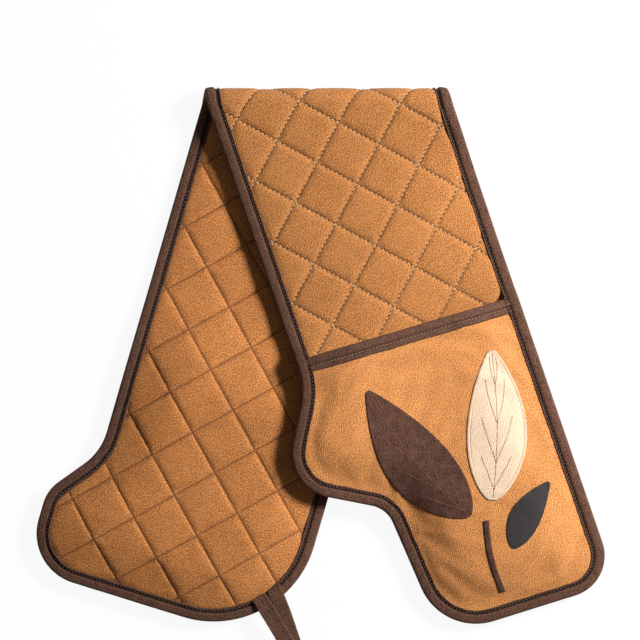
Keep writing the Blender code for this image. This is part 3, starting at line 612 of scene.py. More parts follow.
def closed(top, bottom, faces):
    """Points and faces of the solid between two sheets of the same faces."""
    count = len(top)
    edges = dict.fromkeys(edge for face in faces for edge in zip(face, face[1:] + face[:1]))
    walls = [(b, a, a + count, b + count) for a, b in edges if (b, a) not in edges]
    under = [[k + count for k in reversed(face)] for face in faces]
    return np.vstack([top, bottom]), faces + under + walls


def picked(faces, *tables):
    """The faces renumbered to the points that they use, and the tables with only those points."""
    used = sorted({k for face in faces for k in face})
    number = {k: place for place, k in enumerate(used)}
    return [[number[k] for k in face] for face in faces], *(table[used] for table in tables)


def wrapped(cloth, uv, level):
    """World places of the front cloth: flat as far as the fold, and round it beyond."""
    plan = cloth.plan
    flat = plan.world(uv + cloth.at(cloth.shift, uv)[:, :2])
    beyond = np.maximum(flat[:, 1] - FOLD_Y, 0) / FOLD_RUN
    swell = 1 + FOLD_SWELL * np.sin(math.pi * np.clip(beyond, 0, 1)) ** 2
    radius = (level - FOLD_HEIGHT) * swell
    left = CORNER[0] + (CORNER[1] - flat[:, 1]) * math.tan(plan.tilt)
    share = (flat[:, 0] - left) * math.cos(plan.tilt) / STRIP_WIDTH
    ends = []
    for tilt in (FRONT_TILT, BACK_TILT):
        at_fold = CORNER[0] + (CORNER[1] - FOLD_Y) * math.tan(tilt)
        ends.append((at_fold, at_fold + STRIP_WIDTH / math.cos(tilt)))
    x = lerp(*(lerp(front, back, beyond) for front, back in zip(*ends)), share)
    y = FOLD_Y + radius * np.sin(math.pi * beyond)
    z = FOLD_HEIGHT + radius * np.cos(math.pi * beyond)
    return np.where((beyond > 0)[:, None], np.stack([x, y, z], 1), np.c_[flat, level])


def sheet_levels(cloth, uv):
    """Heights of the upper and under side of quilted cloth at places of its plan, and its puff."""
    rise = bpy.context.scene.glove_sizes.puff
    puff = cloth.at(cloth.shift, uv)[:, 2] / rise
    drawn = 1 - np.clip(puff, 0, 1)
    top = cloth.at(cloth.top, uv) + rise * puff - SEAM_SINK * drawn
    return top, cloth.at(cloth.bottom, uv) + UNDER_RISE * drawn, puff


# ---- Tape ----


def tape_levels(cloth, field, edge, way):
    """Heights of a cloth under the tape at each station, evened along the edge."""
    found = np.stack([cloth.at(field, edge + way * inset) for inset in TAPE_INSETS], 1)
    kernel = np.hanning(9)[1:-1]
    kernel /= kernel.sum()
    padded = np.pad(found, ((3, 3), (0, 0)), mode="edge")
    return np.stack([np.convolve(column, kernel, mode="valid") for column in padded.T], 1)


def tape_profile(width, seam, groove):
    """The upper half of a folded tape's section, from fold to edge: inset, rise and shade mask."""
    dark = 1 - groove
    # The third number is a shade mask: below 1 the material paints shade, in the stitched groove by
    # as much as groove asks, and toward the tape's edge
    shape = (
        (0.22 * seam, 0.0, 1.0), (0.36 * seam, 0.3, 1.0), (0.54 * seam, 0.5, 1.0),
        (0.68 * seam, 0.5, 1.0), (0.77 * seam, 0.3, 0.95), (seam - 0.125, -0.45 * groove, dark),
        (seam, -0.85 * groove, dark), (seam + 0.06, -0.55 * groove, dark), (seam + 0.095, 0.0, 0.8),
        (seam / 2 + 0.535, 0.05, 0.9), (0.985, -0.08, 0.5), (1.0, -0.4, 0.0),
    )
    return [(share * width, TAPE + TAPE_GAP + rise * MM, full) for share, rise, full in shape]


def tape_loop(width, seam, tops, bottoms, wave=(0, 0), groove=1.0):
    """One closed section of a folded tape over sampled cloth heights: inset, height, shade mask."""
    profile = tape_profile(width, seam, groove)

    def over(inset, lift):
        return np.interp(inset, TAPE_INSETS, tops) + lift

    def under(inset, lift):
        return np.interp(inset, TAPE_INSETS, bottoms) - lift

    upper = [
        (inset + wave[0] * (inset / width) ** 3, over(inset, rise) + wave[1] * inset / width, full)
        for inset, rise, full in profile
    ]
    lower = [(inset, under(inset, rise), full) for inset, rise, full in profile]
    high, low = upper[0][1], lower[0][1]
    nose = []
    for angle in np.radians((-66, -40, -14, 14, 40, 66)):
        level = (high + low) / 2 + (high - low) / 2 * math.sin(angle)
        nose.append((profile[0][0] * (1 - math.cos(angle) ** 0.7), level, 1.0))
    inner = (0.97 * width, 0.6 * width, TAPE)
    cavity = [(inset, over(inset, TAPE_GAP), 1.0) for inset in inner]
    cavity += [(inset, under(inset, TAPE_GAP), 1.0) for inset in reversed(inner)]
    return lower[::-1] + nose + upper + cavity


def laid_sections(plan, edge, way, width, seam, tops, bottoms, wave, groove=1.0):
    """Sections of a folded tape at stations of a half's plan, and the corners of the last one."""
    sections = []
    for index in range(len(edge)):
        moved = [share[index] for share in wave]
        loop = tape_loop(width, seam, tops[index], bottoms[index], moved, groove)
        insets = np.array([corner[0] for corner in loop])[:, None]
        places = plan.world(edge[index] + way[index] * insets)
        sections.append(np.c_[places, [corner[1] for corner in loop]])
    return sections, loop


def swept(sections, along, around):
    """Points, faces and map of a closed section carried along a path."""
    sections = np.asarray(sections)
    count, size = sections.shape[:2]
    points = sections.reshape(-1, 3)
    faces = []
    for first in range(0, (count - 1) * size, size):
        for k in range(size):
            near, far = first + k, first + (k + 1) % size
            faces.append((near, far, far + size, near + size))
    a, b, c, d = (points[corner] for corner in np.array(faces).T)
    inside_out = (a * (np.cross(b, c) + np.cross(c, d))).sum() < 0
    faces += [tuple(reversed(range(size))), tuple(range((count - 1) * size, count * size))]
    if inside_out:
        faces = [tuple(reversed(face)) for face in faces]
    return points, faces, np.stack([np.repeat(along, size), np.tile(around, count)], 1)


def travelled(places):
    """Distance along a path or round a section from its first point."""
    steps = np.linalg.norm(np.diff(np.asarray(places), axis=0), axis=1)
    return np.concatenate([[0], np.cumsum(steps)])


def tape_piece(name, sections, along, section, body):
    """A swept tape that shades at its ends as if it ran on."""
    around = travelled([corner[:2] for corner in section])
    points, faces, uv = swept(sections, along, around)
    full = np.tile([corner[2] for corner in section], len(along))
    normals = vertex_normals(points, faces[:-2])
    piece = new_piece(name, points, faces, woven("tape", "tape"), body, uv, full, normals)
    return piece


# ---- Materials ----


def add_node(tree, kind, inputs, **settings):
    """A node with its settings, whose inputs are fed with sockets, numbers or colours."""
    node = tree.nodes.new(kind)
    for name, value in settings.items():
        setattr(node, name, value)
    for name, value in inputs.items():
        if isinstance(value, bpy.types.NodeSocket):
            tree.links.new(value, node.inputs[name])
        else:
            node.inputs[name].default_value = value
    return node


def math_node(tree, operation, *values):
    """A Math node fed with sockets or numbers."""
    return add_node(tree, "ShaderNodeMath", dict(enumerate(values)), operation=operation).outputs[0]


def noise_node(tree, vector, scale, detail=2):
    inputs = {"Vector": vector, "Scale": scale, "Detail": detail}
    return add_node(tree, "ShaderNodeTexNoise", inputs).outputs["Fac"]


def wave_node(tree, vector, scale, distortion):
    """Ribs across a map, as threads lie."""
    inputs = {"Vector": vector, "Scale": scale, "Distortion": distortion}
    inputs.update({"Detail": 1.0, "Detail Scale": 1.5})
    return add_node(tree, "ShaderNodeTexWave", inputs, bands_direction="X").outputs["Fac"]


def turned_map(tree, source, degrees, stretch=(1, 1, 1)):
    inputs = {"Vector": source, "Rotation": (0, 0, math.radians(degrees)), "Scale": stretch}
    return add_node(tree, "ShaderNodeMapping", inputs).outputs["Vector"]


def ramp_mix(tree, factor, first, second):
    """From one colour to another by a factor."""
    inputs = {"Factor": factor, 6: first, 7: second}
    return add_node(tree, "ShaderNodeMix", inputs, data_type="RGBA").outputs[2]


def ranged(tree, value, low, high, first=0.0, last=1.0):
    """A value carried from one range to another, and kept inside it."""
    inputs = {"Value": value, "From Min": low, "From Max": high, "To Min": first, "To Max": last}
    return add_node(tree, "ShaderNodeMapRange", inputs).outputs["Result"]


def shaded(colour, level):
    """A colour made darker or lighter, by one level or one for each channel."""
    return (*(np.array(colour) * level), 1)


def seam_distance(tree, source, quilting):
    """Distance from the nearest quilting line, in metres."""
    origin, cell, turn = quilting
    near = []
    for u, v in ((math.cos(turn), math.sin(turn)), (math.sin(turn), -math.cos(turn))):
        inputs = {0: source, 1: (u, v, 0)}
        across = add_node(tree, "ShaderNodeVectorMath", inputs, operation="DOT_PRODUCT")
        shift = origin[0] * u + origin[1] * v
        place = math_node(tree, "SUBTRACT", across.outputs["Value"], shift)
        near.append(math_node(tree, "PINGPONG", place, cell / 2))
    return math_node(tree, "MINIMUM", *near)


# Pitch and turn of the threads, shares of the noises in the tone, sheen and bump, how dark the
# painted shade in creases is, and up to what fullness it reaches
Weave = collections.namedtuple("Weave", "pitch angle grain cloud mottle sheen bump crease reach")
WEAVES = {
    "brushed": Weave(0.75 * MM, 45, 2.5, 0.3, 0.25, 0.05, 0.6, 0.7, 0.12),
    "lined": Weave(0.75 * MM, 45, 2.2, 0.35, 0.35, 0.05, 0.6, 0.5, 0.14),
    "twill": Weave(0.85 * MM, 62, 1.8, 0.2, 0.35, 0.05, 0.5, 0.5, 0.35),
    "linen": Weave(0.85 * MM, 62, 0.6, 0.15, 0.1, 0.05, 0.5, 0.3, 0.35),
    "tape": Weave(0.7 * MM, 90, 3.0, 0.8, 0.4, 0.02, 0.7, 0.97, 0.35),
    "suede": Weave(0.8 * MM, 70, 2.6, 1.0, 0.7, 0.02, 0.5, 0.6, 0.35),
    "satin": Weave(0.42 * MM, 25, 0.8, 0.3, 0.2, 0.2, 0.9, 0.6, 0.35),
}
# The darkest and palest of a cloth's threads, and the painted shade of its creases, as shares of
# its colour
DEEP, PALE, PAINTED_SHADE = (0.42, 0.36, 0.32), (1.58, 1.64, 1.68), 0.12


def started(name, kind):
    """A new material's node tree and shader, and the colour that it is made from."""
    made = bpy.data.materials.new(f"{name}_{kind}")
    made.use_nodes = True
    shader = made.node_tree.nodes["Principled BSDF"]
    return made, shader, tuple(getattr(bpy.context.scene.glove_colours, name))


@functools.lru_cache
def woven(name, kind, quilting=None):
    """Cloth with its threads, nap and mottling, and painted shade in creases and grooves; kind
    picks the weave.
    """
    made, shader, colour = started(name, kind)
    tree, weave = made.node_tree, WEAVES[kind]
    coordinate = tree.nodes.new("ShaderNodeTexCoord").outputs["UV"]
    mottle = noise_node(tree, coordinate, 36)
    cloud = noise_node(tree, coordinate, 170)
    nap = noise_node(tree, turned_map(tree, coordinate, weave.angle, (1, 0.8, 1)), 1250, 0.5)
    tone = 0.5
    for layer, share in ((mottle, weave.mottle), (cloud, weave.cloud), (nap, weave.grain)):
        offset = math_node(tree, "MULTIPLY", math_node(tree, "SUBTRACT", layer, 0.5), share)
        tone = math_node(tree, "ADD", offset, tone)
    # Painted shade: the colour darkens where the puff value is low, in creases, tape grooves and
    # rims
    puff = add_node(tree, "ShaderNodeAttribute", {}, attribute_name="puff").outputs["Fac"]
    flat = ranged(tree, puff, 0.0, weave.reach, 1.0, 0.0)
    crease = math_node(tree, "MULTIPLY", flat, weave.crease)
    # With quilting, a painted line of shade also darkens the cloth along each seam
    if quilting:
        near = seam_distance(tree, coordinate, quilting)
        line = math_node(tree, "MULTIPLY", ranged(tree, near, 0.0, 1 * MM, 1.0, 0.0), weave.crease)
        crease = math_node(tree, "MAXIMUM", crease, line)
    threads = ramp_mix(tree, tone, shaded(colour, DEEP), shaded(colour, PALE))
    cloth = ramp_mix(tree, crease, threads, shaded(colour, PAINTED_SHADE))
    tree.links.new(cloth, shader.inputs["Base Color"])
    warp = wave_node(tree, turned_map(tree, coordinate, weave.angle), 0.314 / weave.pitch, 1.4)
    weft = wave_node(tree, turned_map(tree, coordinate, weave.angle + 90), 0.2 / weave.pitch, 2.0)
    relief = math_node(tree, "ADD", warp, weft)
    relief = math_node(tree, "ADD", relief, math_node(tree, "MULTIPLY", nap, 2.0))
    tree.links.new(ranged(tree, nap, 0.2, 0.8, 0.78, 0.98), shader.inputs["Roughness"])
    shader.inputs["Sheen Weight"].default_value = weave.sheen
    shader.inputs["Sheen Roughness"].default_value = 0.5
    shader.inputs["Specular IOR Level"].default_value = 0.15
    inputs = {"Strength": weave.bump, "Distance": 0.25 * MM, "Height": relief}
    if quilting:
        height = math_node(tree, "POWER", ranged(tree, near, 0.0, 1.8 * MM), 0.6)
        flank = add_node(tree, "ShaderNodeBump", {"Distance": 0.45 * MM, "Height": height})
        inputs["Normal"] = flank.outputs["Normal"]
    bump = add_node(tree, "ShaderNodeBump", inputs)
    tree.links.new(bump.outputs["Normal"], shader.inputs["Normal"])
    return made


@functools.lru_cache
def spun(name):
    """Twisted sewing thread."""
    made, shader, colour = started(name, "thread")
    tree = made.node_tree
    coordinate = tree.nodes.new("ShaderNodeTexCoord").outputs["Object"]
    twist = wave_node(tree, turned_map(tree, coordinate, 35), 1100, 1.0)
    fuzz = noise_node(tree, coordinate, 900)
    thread = ramp_mix(tree, fuzz, shaded(colour, 0.75), shaded(colour, 1.2))
    tree.links.new(thread, shader.inputs["Base Color"])
    shader.inputs["Roughness"].default_value = 0.6
    shader.inputs["Sheen Weight"].default_value = 0.2
    inputs = {"Strength": 0.4, "Distance": 0.1 * MM, "Height": twist}
    bump = add_node(tree, "ShaderNodeBump", inputs)
    tree.links.new(bump.outputs["Normal"], shader.inputs["Normal"])
    return made


# ---- Stitches ----


@functools.lru_cache
def stitch_tree():
    """Threads at even spaces along curves, each turned by its reach along and across the run."""
    tree = bpy.data.node_groups.new("Stitches", "GeometryNodeTree")
    sockets = {"Curves": "Geometry", "Thread": "Material", "Stitches": "Geometry"}
    for name in ("Curves", "Spacing", "Length", "Radius", "Along", "Across", "Thread", "Stitches"):
        way = "OUTPUT" if name == "Stitches" else "INPUT"
        kind = "NodeSocket" + sockets.get(name, "Float")
        tree.interface.new_socket(name, in_out=way, socket_type=kind)

    def made(kind, output, inputs, **settings):
        return add_node(tree, kind, inputs, **settings).outputs[output]

    start = tree.nodes.new("NodeGroupInput").outputs
    inputs = {"Curve": start["Curves"], "Length": start["Spacing"]}
    points = add_node(tree, "GeometryNodeCurveToPoints", inputs, mode="LENGTH").outputs
    bead = {"Segments": 6, "Rings": 4, "Radius": 1.0}
    bead = made("GeometryNodeMeshUVSphere", "Mesh", bead)
    half = math_node(tree, "MULTIPLY", start["Length"], 0.5)
    size = {"X": start["Radius"], "Y": start["Radius"], "Z": half}
    size = made("ShaderNodeCombineXYZ", 0, size)
    bead = made("GeometryNodeTransform", "Geometry", {"Geometry": bead, "Scale": size})
    vector, tangent = "ShaderNodeVectorMath", points["Tangent"]
    side = made(vector, 0, {0: tangent, 1: (0, 0, 1)}, operation="CROSS_PRODUCT")
    along = made(vector, 0, {0: tangent, "Scale": start["Along"]}, operation="SCALE")
    across = made(vector, 0, {0: side, "Scale": start["Across"]}, operation="SCALE")
    way = made(vector, 0, {0: along, 1: across}, operation="ADD")
    turn = made("FunctionNodeAlignRotationToVector", "Rotation", {"Vector": way}, axis="Z")
    inputs = {"Points": points["Points"], "Instance": bead, "Rotation": turn}
    shape = made("GeometryNodeInstanceOnPoints", "Instances", inputs)
    shape = made("GeometryNodeRealizeInstances", "Geometry", {"Geometry": shape})
    shape = made("GeometryNodeSetShadeSmooth", "Geometry", {"Geometry": shape})
    inputs = {"Geometry": shape, "Material": start["Thread"]}
    shape = made("GeometryNodeSetMaterial", "Geometry", inputs)
    add_node(tree, "NodeGroupOutput", {"Stitches": shape})
    return tree


def sewn(name, runs, spacing, length, radius, thread, body, along=1.0, across=0.22):
    """One mesh of stitches along runs of points, riding on a body."""
    curve = bpy.data.curves.new(name + "_runs", "CURVE")
    curve.dimensions = "3D"
    for run in runs:
        if len(run) > 1:
            spline = curve.splines.new("POLY")
            spline.points.add(len(run) - 1)
            spline.points.foreach_set("co", np.c_[run, np.ones(len(run))].ravel())
    guide = bpy.data.objects.new(name + "_runs", curve)
    bpy.context.scene.collection.objects.link(guide)
    modifier = guide.modifiers.new("stitches", "NODES")
    modifier.node_group = stitch_tree()
    values = {"Spacing": spacing, "Length": length, "Radius": radius, "Thread": spun(thread)}
    values.update(Along=along, Across=across)
    for socket in modifier.node_group.interface.items_tree:
        if socket.in_out == "INPUT" and socket.name in values:
            modifier[socket.identifier] = values[socket.name]
    shaped = guide.evaluated_get(bpy.context.evaluated_depsgraph_get())
    mesh = bpy.data.meshes.new_from_object(shaped)
    mesh.name = name
    bpy.data.objects.remove(guide, do_unlink=True)
    piece = riding(name, mesh, body)
    return piece


def quilting_runs(cloth, keep):
    """Runs of places of the plan along the quilting lines, where keep allows."""
    runs = []
    for axis in (0, 1):
        for row in range(cloth.kept.shape[axis]):
            if np.take(cloth.number, row, axis)[0, axis] % cloth.lines == 0:
                places = np.take(cloth.uv, row, axis)
                shown = np.flatnonzero(np.take(keep & cloth.kept, row, axis))
                parts = np.split(shown, np.flatnonzero(np.diff(shown) > 1) + 1)
                runs += [places[part] for part in parts if len(part) > 2]
    return runs


# ---- Sizes and colours a maker would change ----


def length(name, description, default):
    return FloatProperty(name=name, description=description, default=default, unit="LENGTH")


def colour(name, description, default):
    return FloatVectorProperty(
        name=name, description=description, subtype="COLOR", default=default
    )


class GloveSizes(bpy.types.PropertyGroup):
    front_cell: length("Front quilting", "Spacing of the front half's quilting lines", 35.1 * MM)
    back_cell: length("Back quilting", "Spacing of the back half's quilting lines", 35.7 * MM)
    puff: length("Puff", "Height of the wadding between the quilting lines", 1.5 * MM)
    grid: IntProperty(
        name="Threads per cell", description="Grid steps from one quilting line to the next",
        default=20, min=6,
    )
    pocket_grid: length("Pocket grid", "Grid step of the pockets' cloth", 2.4 * MM)
    quilt_stitch: length("Quilting stitch", "Length of a quilting stitch with its gap", 3.8 * MM)
    tape_stitch: length("Tape stitch", "Length of a tape stitch with its gap", 2.8 * MM)
    thread: length("Thread", "Radius of the sewing thread", 0.34 * MM)
    satin_width: length("Satin width", "Width of the satin border", 3.2 * MM)


class GloveColours(bpy.types.PropertyGroup):
    caramel: colour("Caramel", "Quilted cloth", (0.47, 0.188, 0.056))
    lining: colour("Lining", "Cloth inside the strip", (0.53, 0.203, 0.059))
    pocket: colour("Pocket", "Cloth of the mitt pockets", (0.58, 0.236, 0.073))
    tape: colour("Tape", "Edge tape, mouth tape and loop", (0.125, 0.059, 0.037))
    brown: colour("Brown", "Large leaf and stem", (0.095, 0.043, 0.029))
    cream: colour("Cream", "Cream leaf and its border", (0.76, 0.56, 0.39))
    charcoal: colour("Charcoal", "Small leaf", (0.045, 0.04, 0.038))
    wheat: colour("Wheat", "Thread of the front quilting", (0.92, 0.57, 0.29))
    cocoa: colour("Cocoa", "Thread of the tape", (0.13, 0.07, 0.05))
    fawn: colour("Fawn", "Thread of the mouth tape", (0.30, 0.19, 0.13))
    rust: colour("Rust", "Thread of the back quilting", (0.22, 0.062, 0.026))


# ---- Operators ----


class GLOVE_OT_front_strip(bpy.types.Operator):
    """Quilted cloth of the front half and of the fold"""
    bl_idname = "glove.front_strip"
    bl_label = "Front strip and fold"

    def execute(self, context):
        cloth, fold_end = front_strip(), FOLD_Y + FOLD_RUN
        cell = context.scene.glove_sizes.front_cell
        finish = woven("caramel", "brushed", (FRONT_CROSSING, cell, FRONT_QUILTING))
        uv, faces = cut_sheet(cloth, (FOLD_Y, fold_end))
        top, bottom, puff = sheet_levels(cloth, uv)
        upper, under = wrapped(cloth, uv, top), wrapped(cloth, uv, bottom)
        ups, downs = vertex_normals(upper, faces), -vertex_normals(under, faces)
        height = cloth.plan.world(uv)[:, 1]
        middle = np.array([height[face].mean() for face in faces])
        parts = (
            ("front", "front_half", middle < FOLD_Y),
            ("fold", None, (middle > FOLD_Y) & (middle < fold_end)),
        )
        for side, body, chosen in parts:
            part = [face for face, good in zip(faces, chosen) if good]
            tables = picked(part, upper, under, uv, puff, ups, downs)
            part, high, low, plan_uv, fill, up, down = tables
            piece = sheet_piece(
                f"{side}_quilting", high, low, part, finish, body, plan_uv, fill,
                np.vstack([up, down]),
            )
            if body is None:
                blended(piece)
            layers = (f"{side}_{layer}" for layer in ("face_cloth", "wadding", "lining"))
            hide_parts(*layers)
        return {"FINISHED"}


class GLOVE_OT_back_strip(bpy.types.Operator):
    """Quilted cloth of the back half"""
    bl_idname = "glove.back_strip"
    bl_label = "Back strip"

    def execute(self, context):
        cloth, cell = back_strip(), context.scene.glove_sizes.back_cell
        finish = woven("lining", "lined", (BACK_CROSSING, cell, BACK_QUILTING))
        uv, faces = cut_sheet(cloth, (FOLD_Y,))
        height = cloth.plan.world(uv)[:, 1]
        faces, uv = picked([face for face in faces if height[face].mean() < FOLD_Y], uv)
        top, bottom, puff = sheet_levels(cloth, uv)
        flat = cloth.plan.world(uv + cloth.at(cloth.shift, uv)[:, :2])
        upper, under = np.c_[flat, top], np.c_[flat, np.maximum(bottom, CLOTH_LOWEST)]
        piece = sheet_piece("back_quilting", upper, under, faces, finish, "back_half", uv, puff)
        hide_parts("back_face_cloth", "back_wadding", "back_lining")
        return {"FINISHED"}


class GLOVE_OT_pockets(bpy.types.Operator):
    """The two mitt pockets"""
    bl_idname = "glove.pockets"
    bl_label = "Mitt pockets"

    def execute(self, context):
        for side, cloth in (("front", front_pocket()), ("back", back_pocket())):
            uv, shift = cloth.uv[cloth.kept], cloth.shift[cloth.kept]
            flat, lift = cloth.plan.world(uv + shift[:, :2]), shift[:, 2]
            top, bottom = cloth.top[cloth.kept], cloth.bottom[cloth.kept]
            # Only the pocket that is seen takes the waves of its cloth
            if side == "front":
                top, bottom = top + lift, bottom + 0.5 * lift
            else:
                bottom = np.maximum(bottom, CLOTH_LOWEST)
            piece = sheet_piece(
                f"{side}_pocket", np.c_[flat, top], np.c_[flat, bottom],
                [list(cell) for cell in cloth.cells], woven("pocket", "twill"), f"{side}_half", uv,
            )
            layers = (f"{side}_pocket_{layer}" for layer in ("face", "wadding", "lining"))
            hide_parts(*layers)
        return {"FINISHED"}


def edge_levels(side, edge, way):
    """Cloth heights over and under the edge tape at each station."""
    if side == "back":
        cloth = back_strip()
        tops = tape_levels(cloth, cloth.top, edge, way)
        return tops, np.full(tops.shape, TAPE_LOWEST)
    # At the mouth the tape climbs from the strip to the pocket, and over the mouth's own tape
    v = edge[:, 1] + MOUTH - mouth_line(edge[:, 0])
    mitt = smooth((v - MOUTH + 8 * MM) / (9 * MM))[:, None]
    over = smooth((v - MOUTH + 5 * MM) / (6 * MM))
    off = smooth((v - MOUTH - BAND_WIDTH + 1 * MM) / (7 * MM))
    strip, pocket = front_strip(), front_pocket()
    tops = lerp(
        tape_levels(strip, strip.top, edge, way), tape_levels(pocket, pocket.top, edge, way), mitt
    )
    bottoms = tape_levels(strip, strip.bottom, edge, way)
    return tops + (over * (1 - off))[:, None] * TAPE, np.maximum(bottoms, TAPE_LOWEST)


class GLOVE_OT_edge_tape(bpy.types.Operator):
    """Tape folded over the edge of both halves and round the fold, with its stitching"""
    bl_idname = "glove.edge_tape"
    bl_label = "Edge tape"

    def execute(self, context):
        ends = {}
        for side, plan in (("front", front_plan()), ("back", back_plan())):
            ends.update(self.half(side, plan, context.scene.glove_sizes))
        for name in ("left", "right"):
            self.fold(name, ends["front", name], ends["back", name])
        return {"FINISHED"}

    def half(self, side, plan, sizes):
        """The tape round one half; returns its x, slope and cloth heights at both ends."""
        walk, edge, way = plan.stations()
        tops, bottoms = edge_levels(side, edge, way)
        # The tape's unevenness stops at the fold, where the fold's own tape goes on
        still = 0.03
        calm = smooth(walk / still) * smooth((walk[-1] - walk) / still)
        pucker, sway = waves(walk, 11, 9 * MM) * calm, waves(walk, 12, 23 * MM) * calm
        wave = (0.25 * MM * sway, 0.16 * MM * pucker)
        sections, loop = laid_sections(
            plan, edge, way, TAPE_WIDTH, EDGE_SEAMS[side], tops, bottoms, wave
        )
        piece = tape_piece(f"{side}_edge_tape", sections, walk, loop, f"{side}_half")
        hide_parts(f"{side}_edge_binding")
        runs = [[section[UPPER_SEAM] + SEAM_THREAD for section in sections[2:-2]]]
        if side == "front":
            runs.append([section[LOWER_SEAM] - SEAM_THREAD for section in sections[2:-2]])
        pitch = sizes.tape_stitch
        sewn(
            f"{side}_tape_stitches", runs, pitch, pitch * 0.72, sizes.thread, "cocoa",
            f"{side}_half", 1.0, 0.45,
        )
        ends = {}
        for name, index in (("left", 0), ("right", -1)):
            slope = (plan.across * way[index][0] + plan.down * way[index][1])[0]
            ends[side, name] = plan.world(edge[index])[0], slope, tops[index], bottoms[index]
        return ends

    def fold(self, name, front, back):
        """The tape round the fold at one side, from the front half's tape to the back half's."""
        sections = []
        for share in np.linspace(0, 1, FOLD_SPANS):
            edge_x, way_x = lerp(front[0], back[0], share), lerp(front[1], back[1], share)
            tops = lerp(front[2], 2 * FOLD_HEIGHT - back[3], share)
            bottoms = lerp(front[3], 2 * FOLD_HEIGHT - back[2], share)
            seam = lerp(EDGE_SEAMS["front"], EDGE_SEAMS["back"], share)
            loop = tape_loop(TAPE_WIDTH, seam, tops, bottoms)
            angle = math.pi * share
            sections.append([])
            for inset, level, _ in loop:
                radius = (level - FOLD_HEIGHT) * (1 + FOLD_SWELL * math.sin(angle) ** 2)
                y, z = FOLD_Y + radius * math.sin(angle), FOLD_HEIGHT + radius * math.cos(angle)
                sections[-1].append((edge_x + way_x * inset, y, z))
        along = np.linspace(0, FOLD_RUN, FOLD_SPANS)
        piece = tape_piece(f"fold_tape_{name}", sections, along, loop, None)
        blended(piece)
        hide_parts(f"fold_binding_{name}")


class GLOVE_OT_mouth_tapes(bpy.types.Operator):
    """Tape folded over the upper edge of each pocket, with its stitching"""
    bl_idname = "glove.mouth_tapes"
    bl_label = "Mouth tapes"

    def execute(self, context):
        pitch = context.scene.glove_sizes.tape_stitch
        across = np.arange(6 * MM, STRIP_WIDTH - 6 * MM, TAPE_SPAN)
        rows = [np.c_[across, np.full(len(across), MOUTH + inset)] for inset in TAPE_INSETS]
        way = np.tile((0.0, 1.0), (len(across), 1))
        pucker, sway = waves(across, 21, 11 * MM), waves(across, 22, 40 * MM)
        wave = (0.3 * MM * sway, 0.15 * MM * pucker)
        for side, cloth in (("front", front_pocket()), ("back", back_pocket())):
            tops, bottoms = (
                np.stack([cloth.at(field, row) for row in rows], 1)
                for field in (cloth.top, cloth.bottom)
            )
            if side == "back":
                bottoms = np.maximum(bottoms, TAPE_LOWEST)
            start = mouth_line(across) if side == "front" else np.full(len(across), MOUTH)
            # The mouth tape's groove is shallower than the edge tape's, and its painted shade
            # lighter
            sections, loop = laid_sections(
                cloth.plan, np.c_[across, start], way, BAND_WIDTH, MOUTH_SEAM, tops, bottoms, wave,
                groove=0.75,
            )
            piece = tape_piece(f"{side}_mouth_tape", sections, across, loop, f"{side}_half")
            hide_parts(f"{side}_mouth_binding")
            if side == "front":
                run = [
                    section[UPPER_SEAM] + SEAM_THREAD for section, u in zip(sections, across)
                    if TAPE_WIDTH < u < STRIP_WIDTH - TAPE_WIDTH
                ]
                sewn(
                    "front_mouth_stitches", [run], pitch, pitch * STITCH_SHARE,
                    context.scene.glove_sizes.thread, "fawn", "front_half",
                )
        return {"FINISHED"}


class GLOVE_OT_quilt_stitches(bpy.types.Operator):
    """Running stitches of the quilting on both halves and round the fold"""
    bl_idname = "glove.quilt_stitches"
    bl_label = "Quilting stitches"

    def execute(self, context):
        sizes = context.scene.glove_sizes
        front, back = front_strip(), back_strip()
        u, v = front.uv[..., 0], front.uv[..., 1]
        height = front.plan.world(front.uv)[..., 1]
        inner = front.inset > TAPE_WIDTH - 2 * MM
        shown = inner & (height < FOLD_Y) & (v < mouth_line(u) + 1 * MM)
        inside = inner & (height < FOLD_Y - 12 * MM)
        round_fold = inner & (height > FOLD_Y - 1 * MM) & (height < FOLD_Y + 0.9 * FOLD_RUN)
        height = back.plan.world(back.uv)[..., 1]
        behind = (back.inset > TAPE_WIDTH - 2 * MM) & (height < FOLD_Y - 2 * MM)
        lower = behind & (back.uv[..., 1] < MOUTH)
        # Which lines, how far the thread lies over the cloth, or under it below nought, its
        # colour, and its body
        jobs = (
            ("front_quilt_stitches", front, shown, PROUD_THREAD, "wheat", "front_half"),
            ("front_lining_stitches", front, inside, -SUNK_THREAD, "rust", "front_half"),
            ("fold_quilt_stitches", front, round_fold, PROUD_THREAD, "wheat", None),
            ("back_quilt_stitches", back, behind, SUNK_THREAD, "rust", "back_half"),
            ("back_face_stitches", back, lower, -SUNK_THREAD, "wheat", "back_half"),
        )
        for name, cloth, keep, rise, thread, body in jobs:
            runs = []
            for places in quilting_runs(cloth, keep):
                top, bottom, _ = sheet_levels(cloth, places)
                level = top + rise if rise > 0 else bottom + rise
                if cloth is front:
                    runs.append(wrapped(cloth, places, level))
                else:
                    level = level if rise > 0 else np.maximum(level, 2.2 * sizes.thread)
                    runs.append(np.c_[cloth.plan.world(places), level])
            pitch = sizes.quilt_stitch
            piece = sewn(name, runs, pitch, pitch * STITCH_SHARE, sizes.thread, thread, body)
            if body is None:
                blended(piece)
        return {"FINISHED"}


def leaf_places(leaf, rows, columns, grow=0.0):
    """A grid of places over a leaf, from its base to its tip and from side to side."""
    ends = (np.array((u * STRIP_WIDTH, MOUTH + v * FRONT_MITT)) for u, v in (leaf.base, leaf.tip))
    base, tip = ends
    run = tip - base
    side = inward(run / np.linalg.norm(run))
    spread = np.sin(np.linspace(-math.pi / 2, math.pi / 2, columns))
    grid = []
    for share in (1 - np.cos(np.linspace(0, math.pi, rows))) / 2:
        centre = base + run * share + side * leaf.bow * math.sin(math.pi * share)
        fat = math.sin(math.pi * share**0.8) ** 0.85 if 0 < share < 1 else 0.0
        width = leaf.width if leaf.width < STEM_WIDTH else lerp(1.2 * MM, leaf.width, fat)
        grid.append([centre + side * (width + grow) * across for across in spread])
    return np.array(grid)


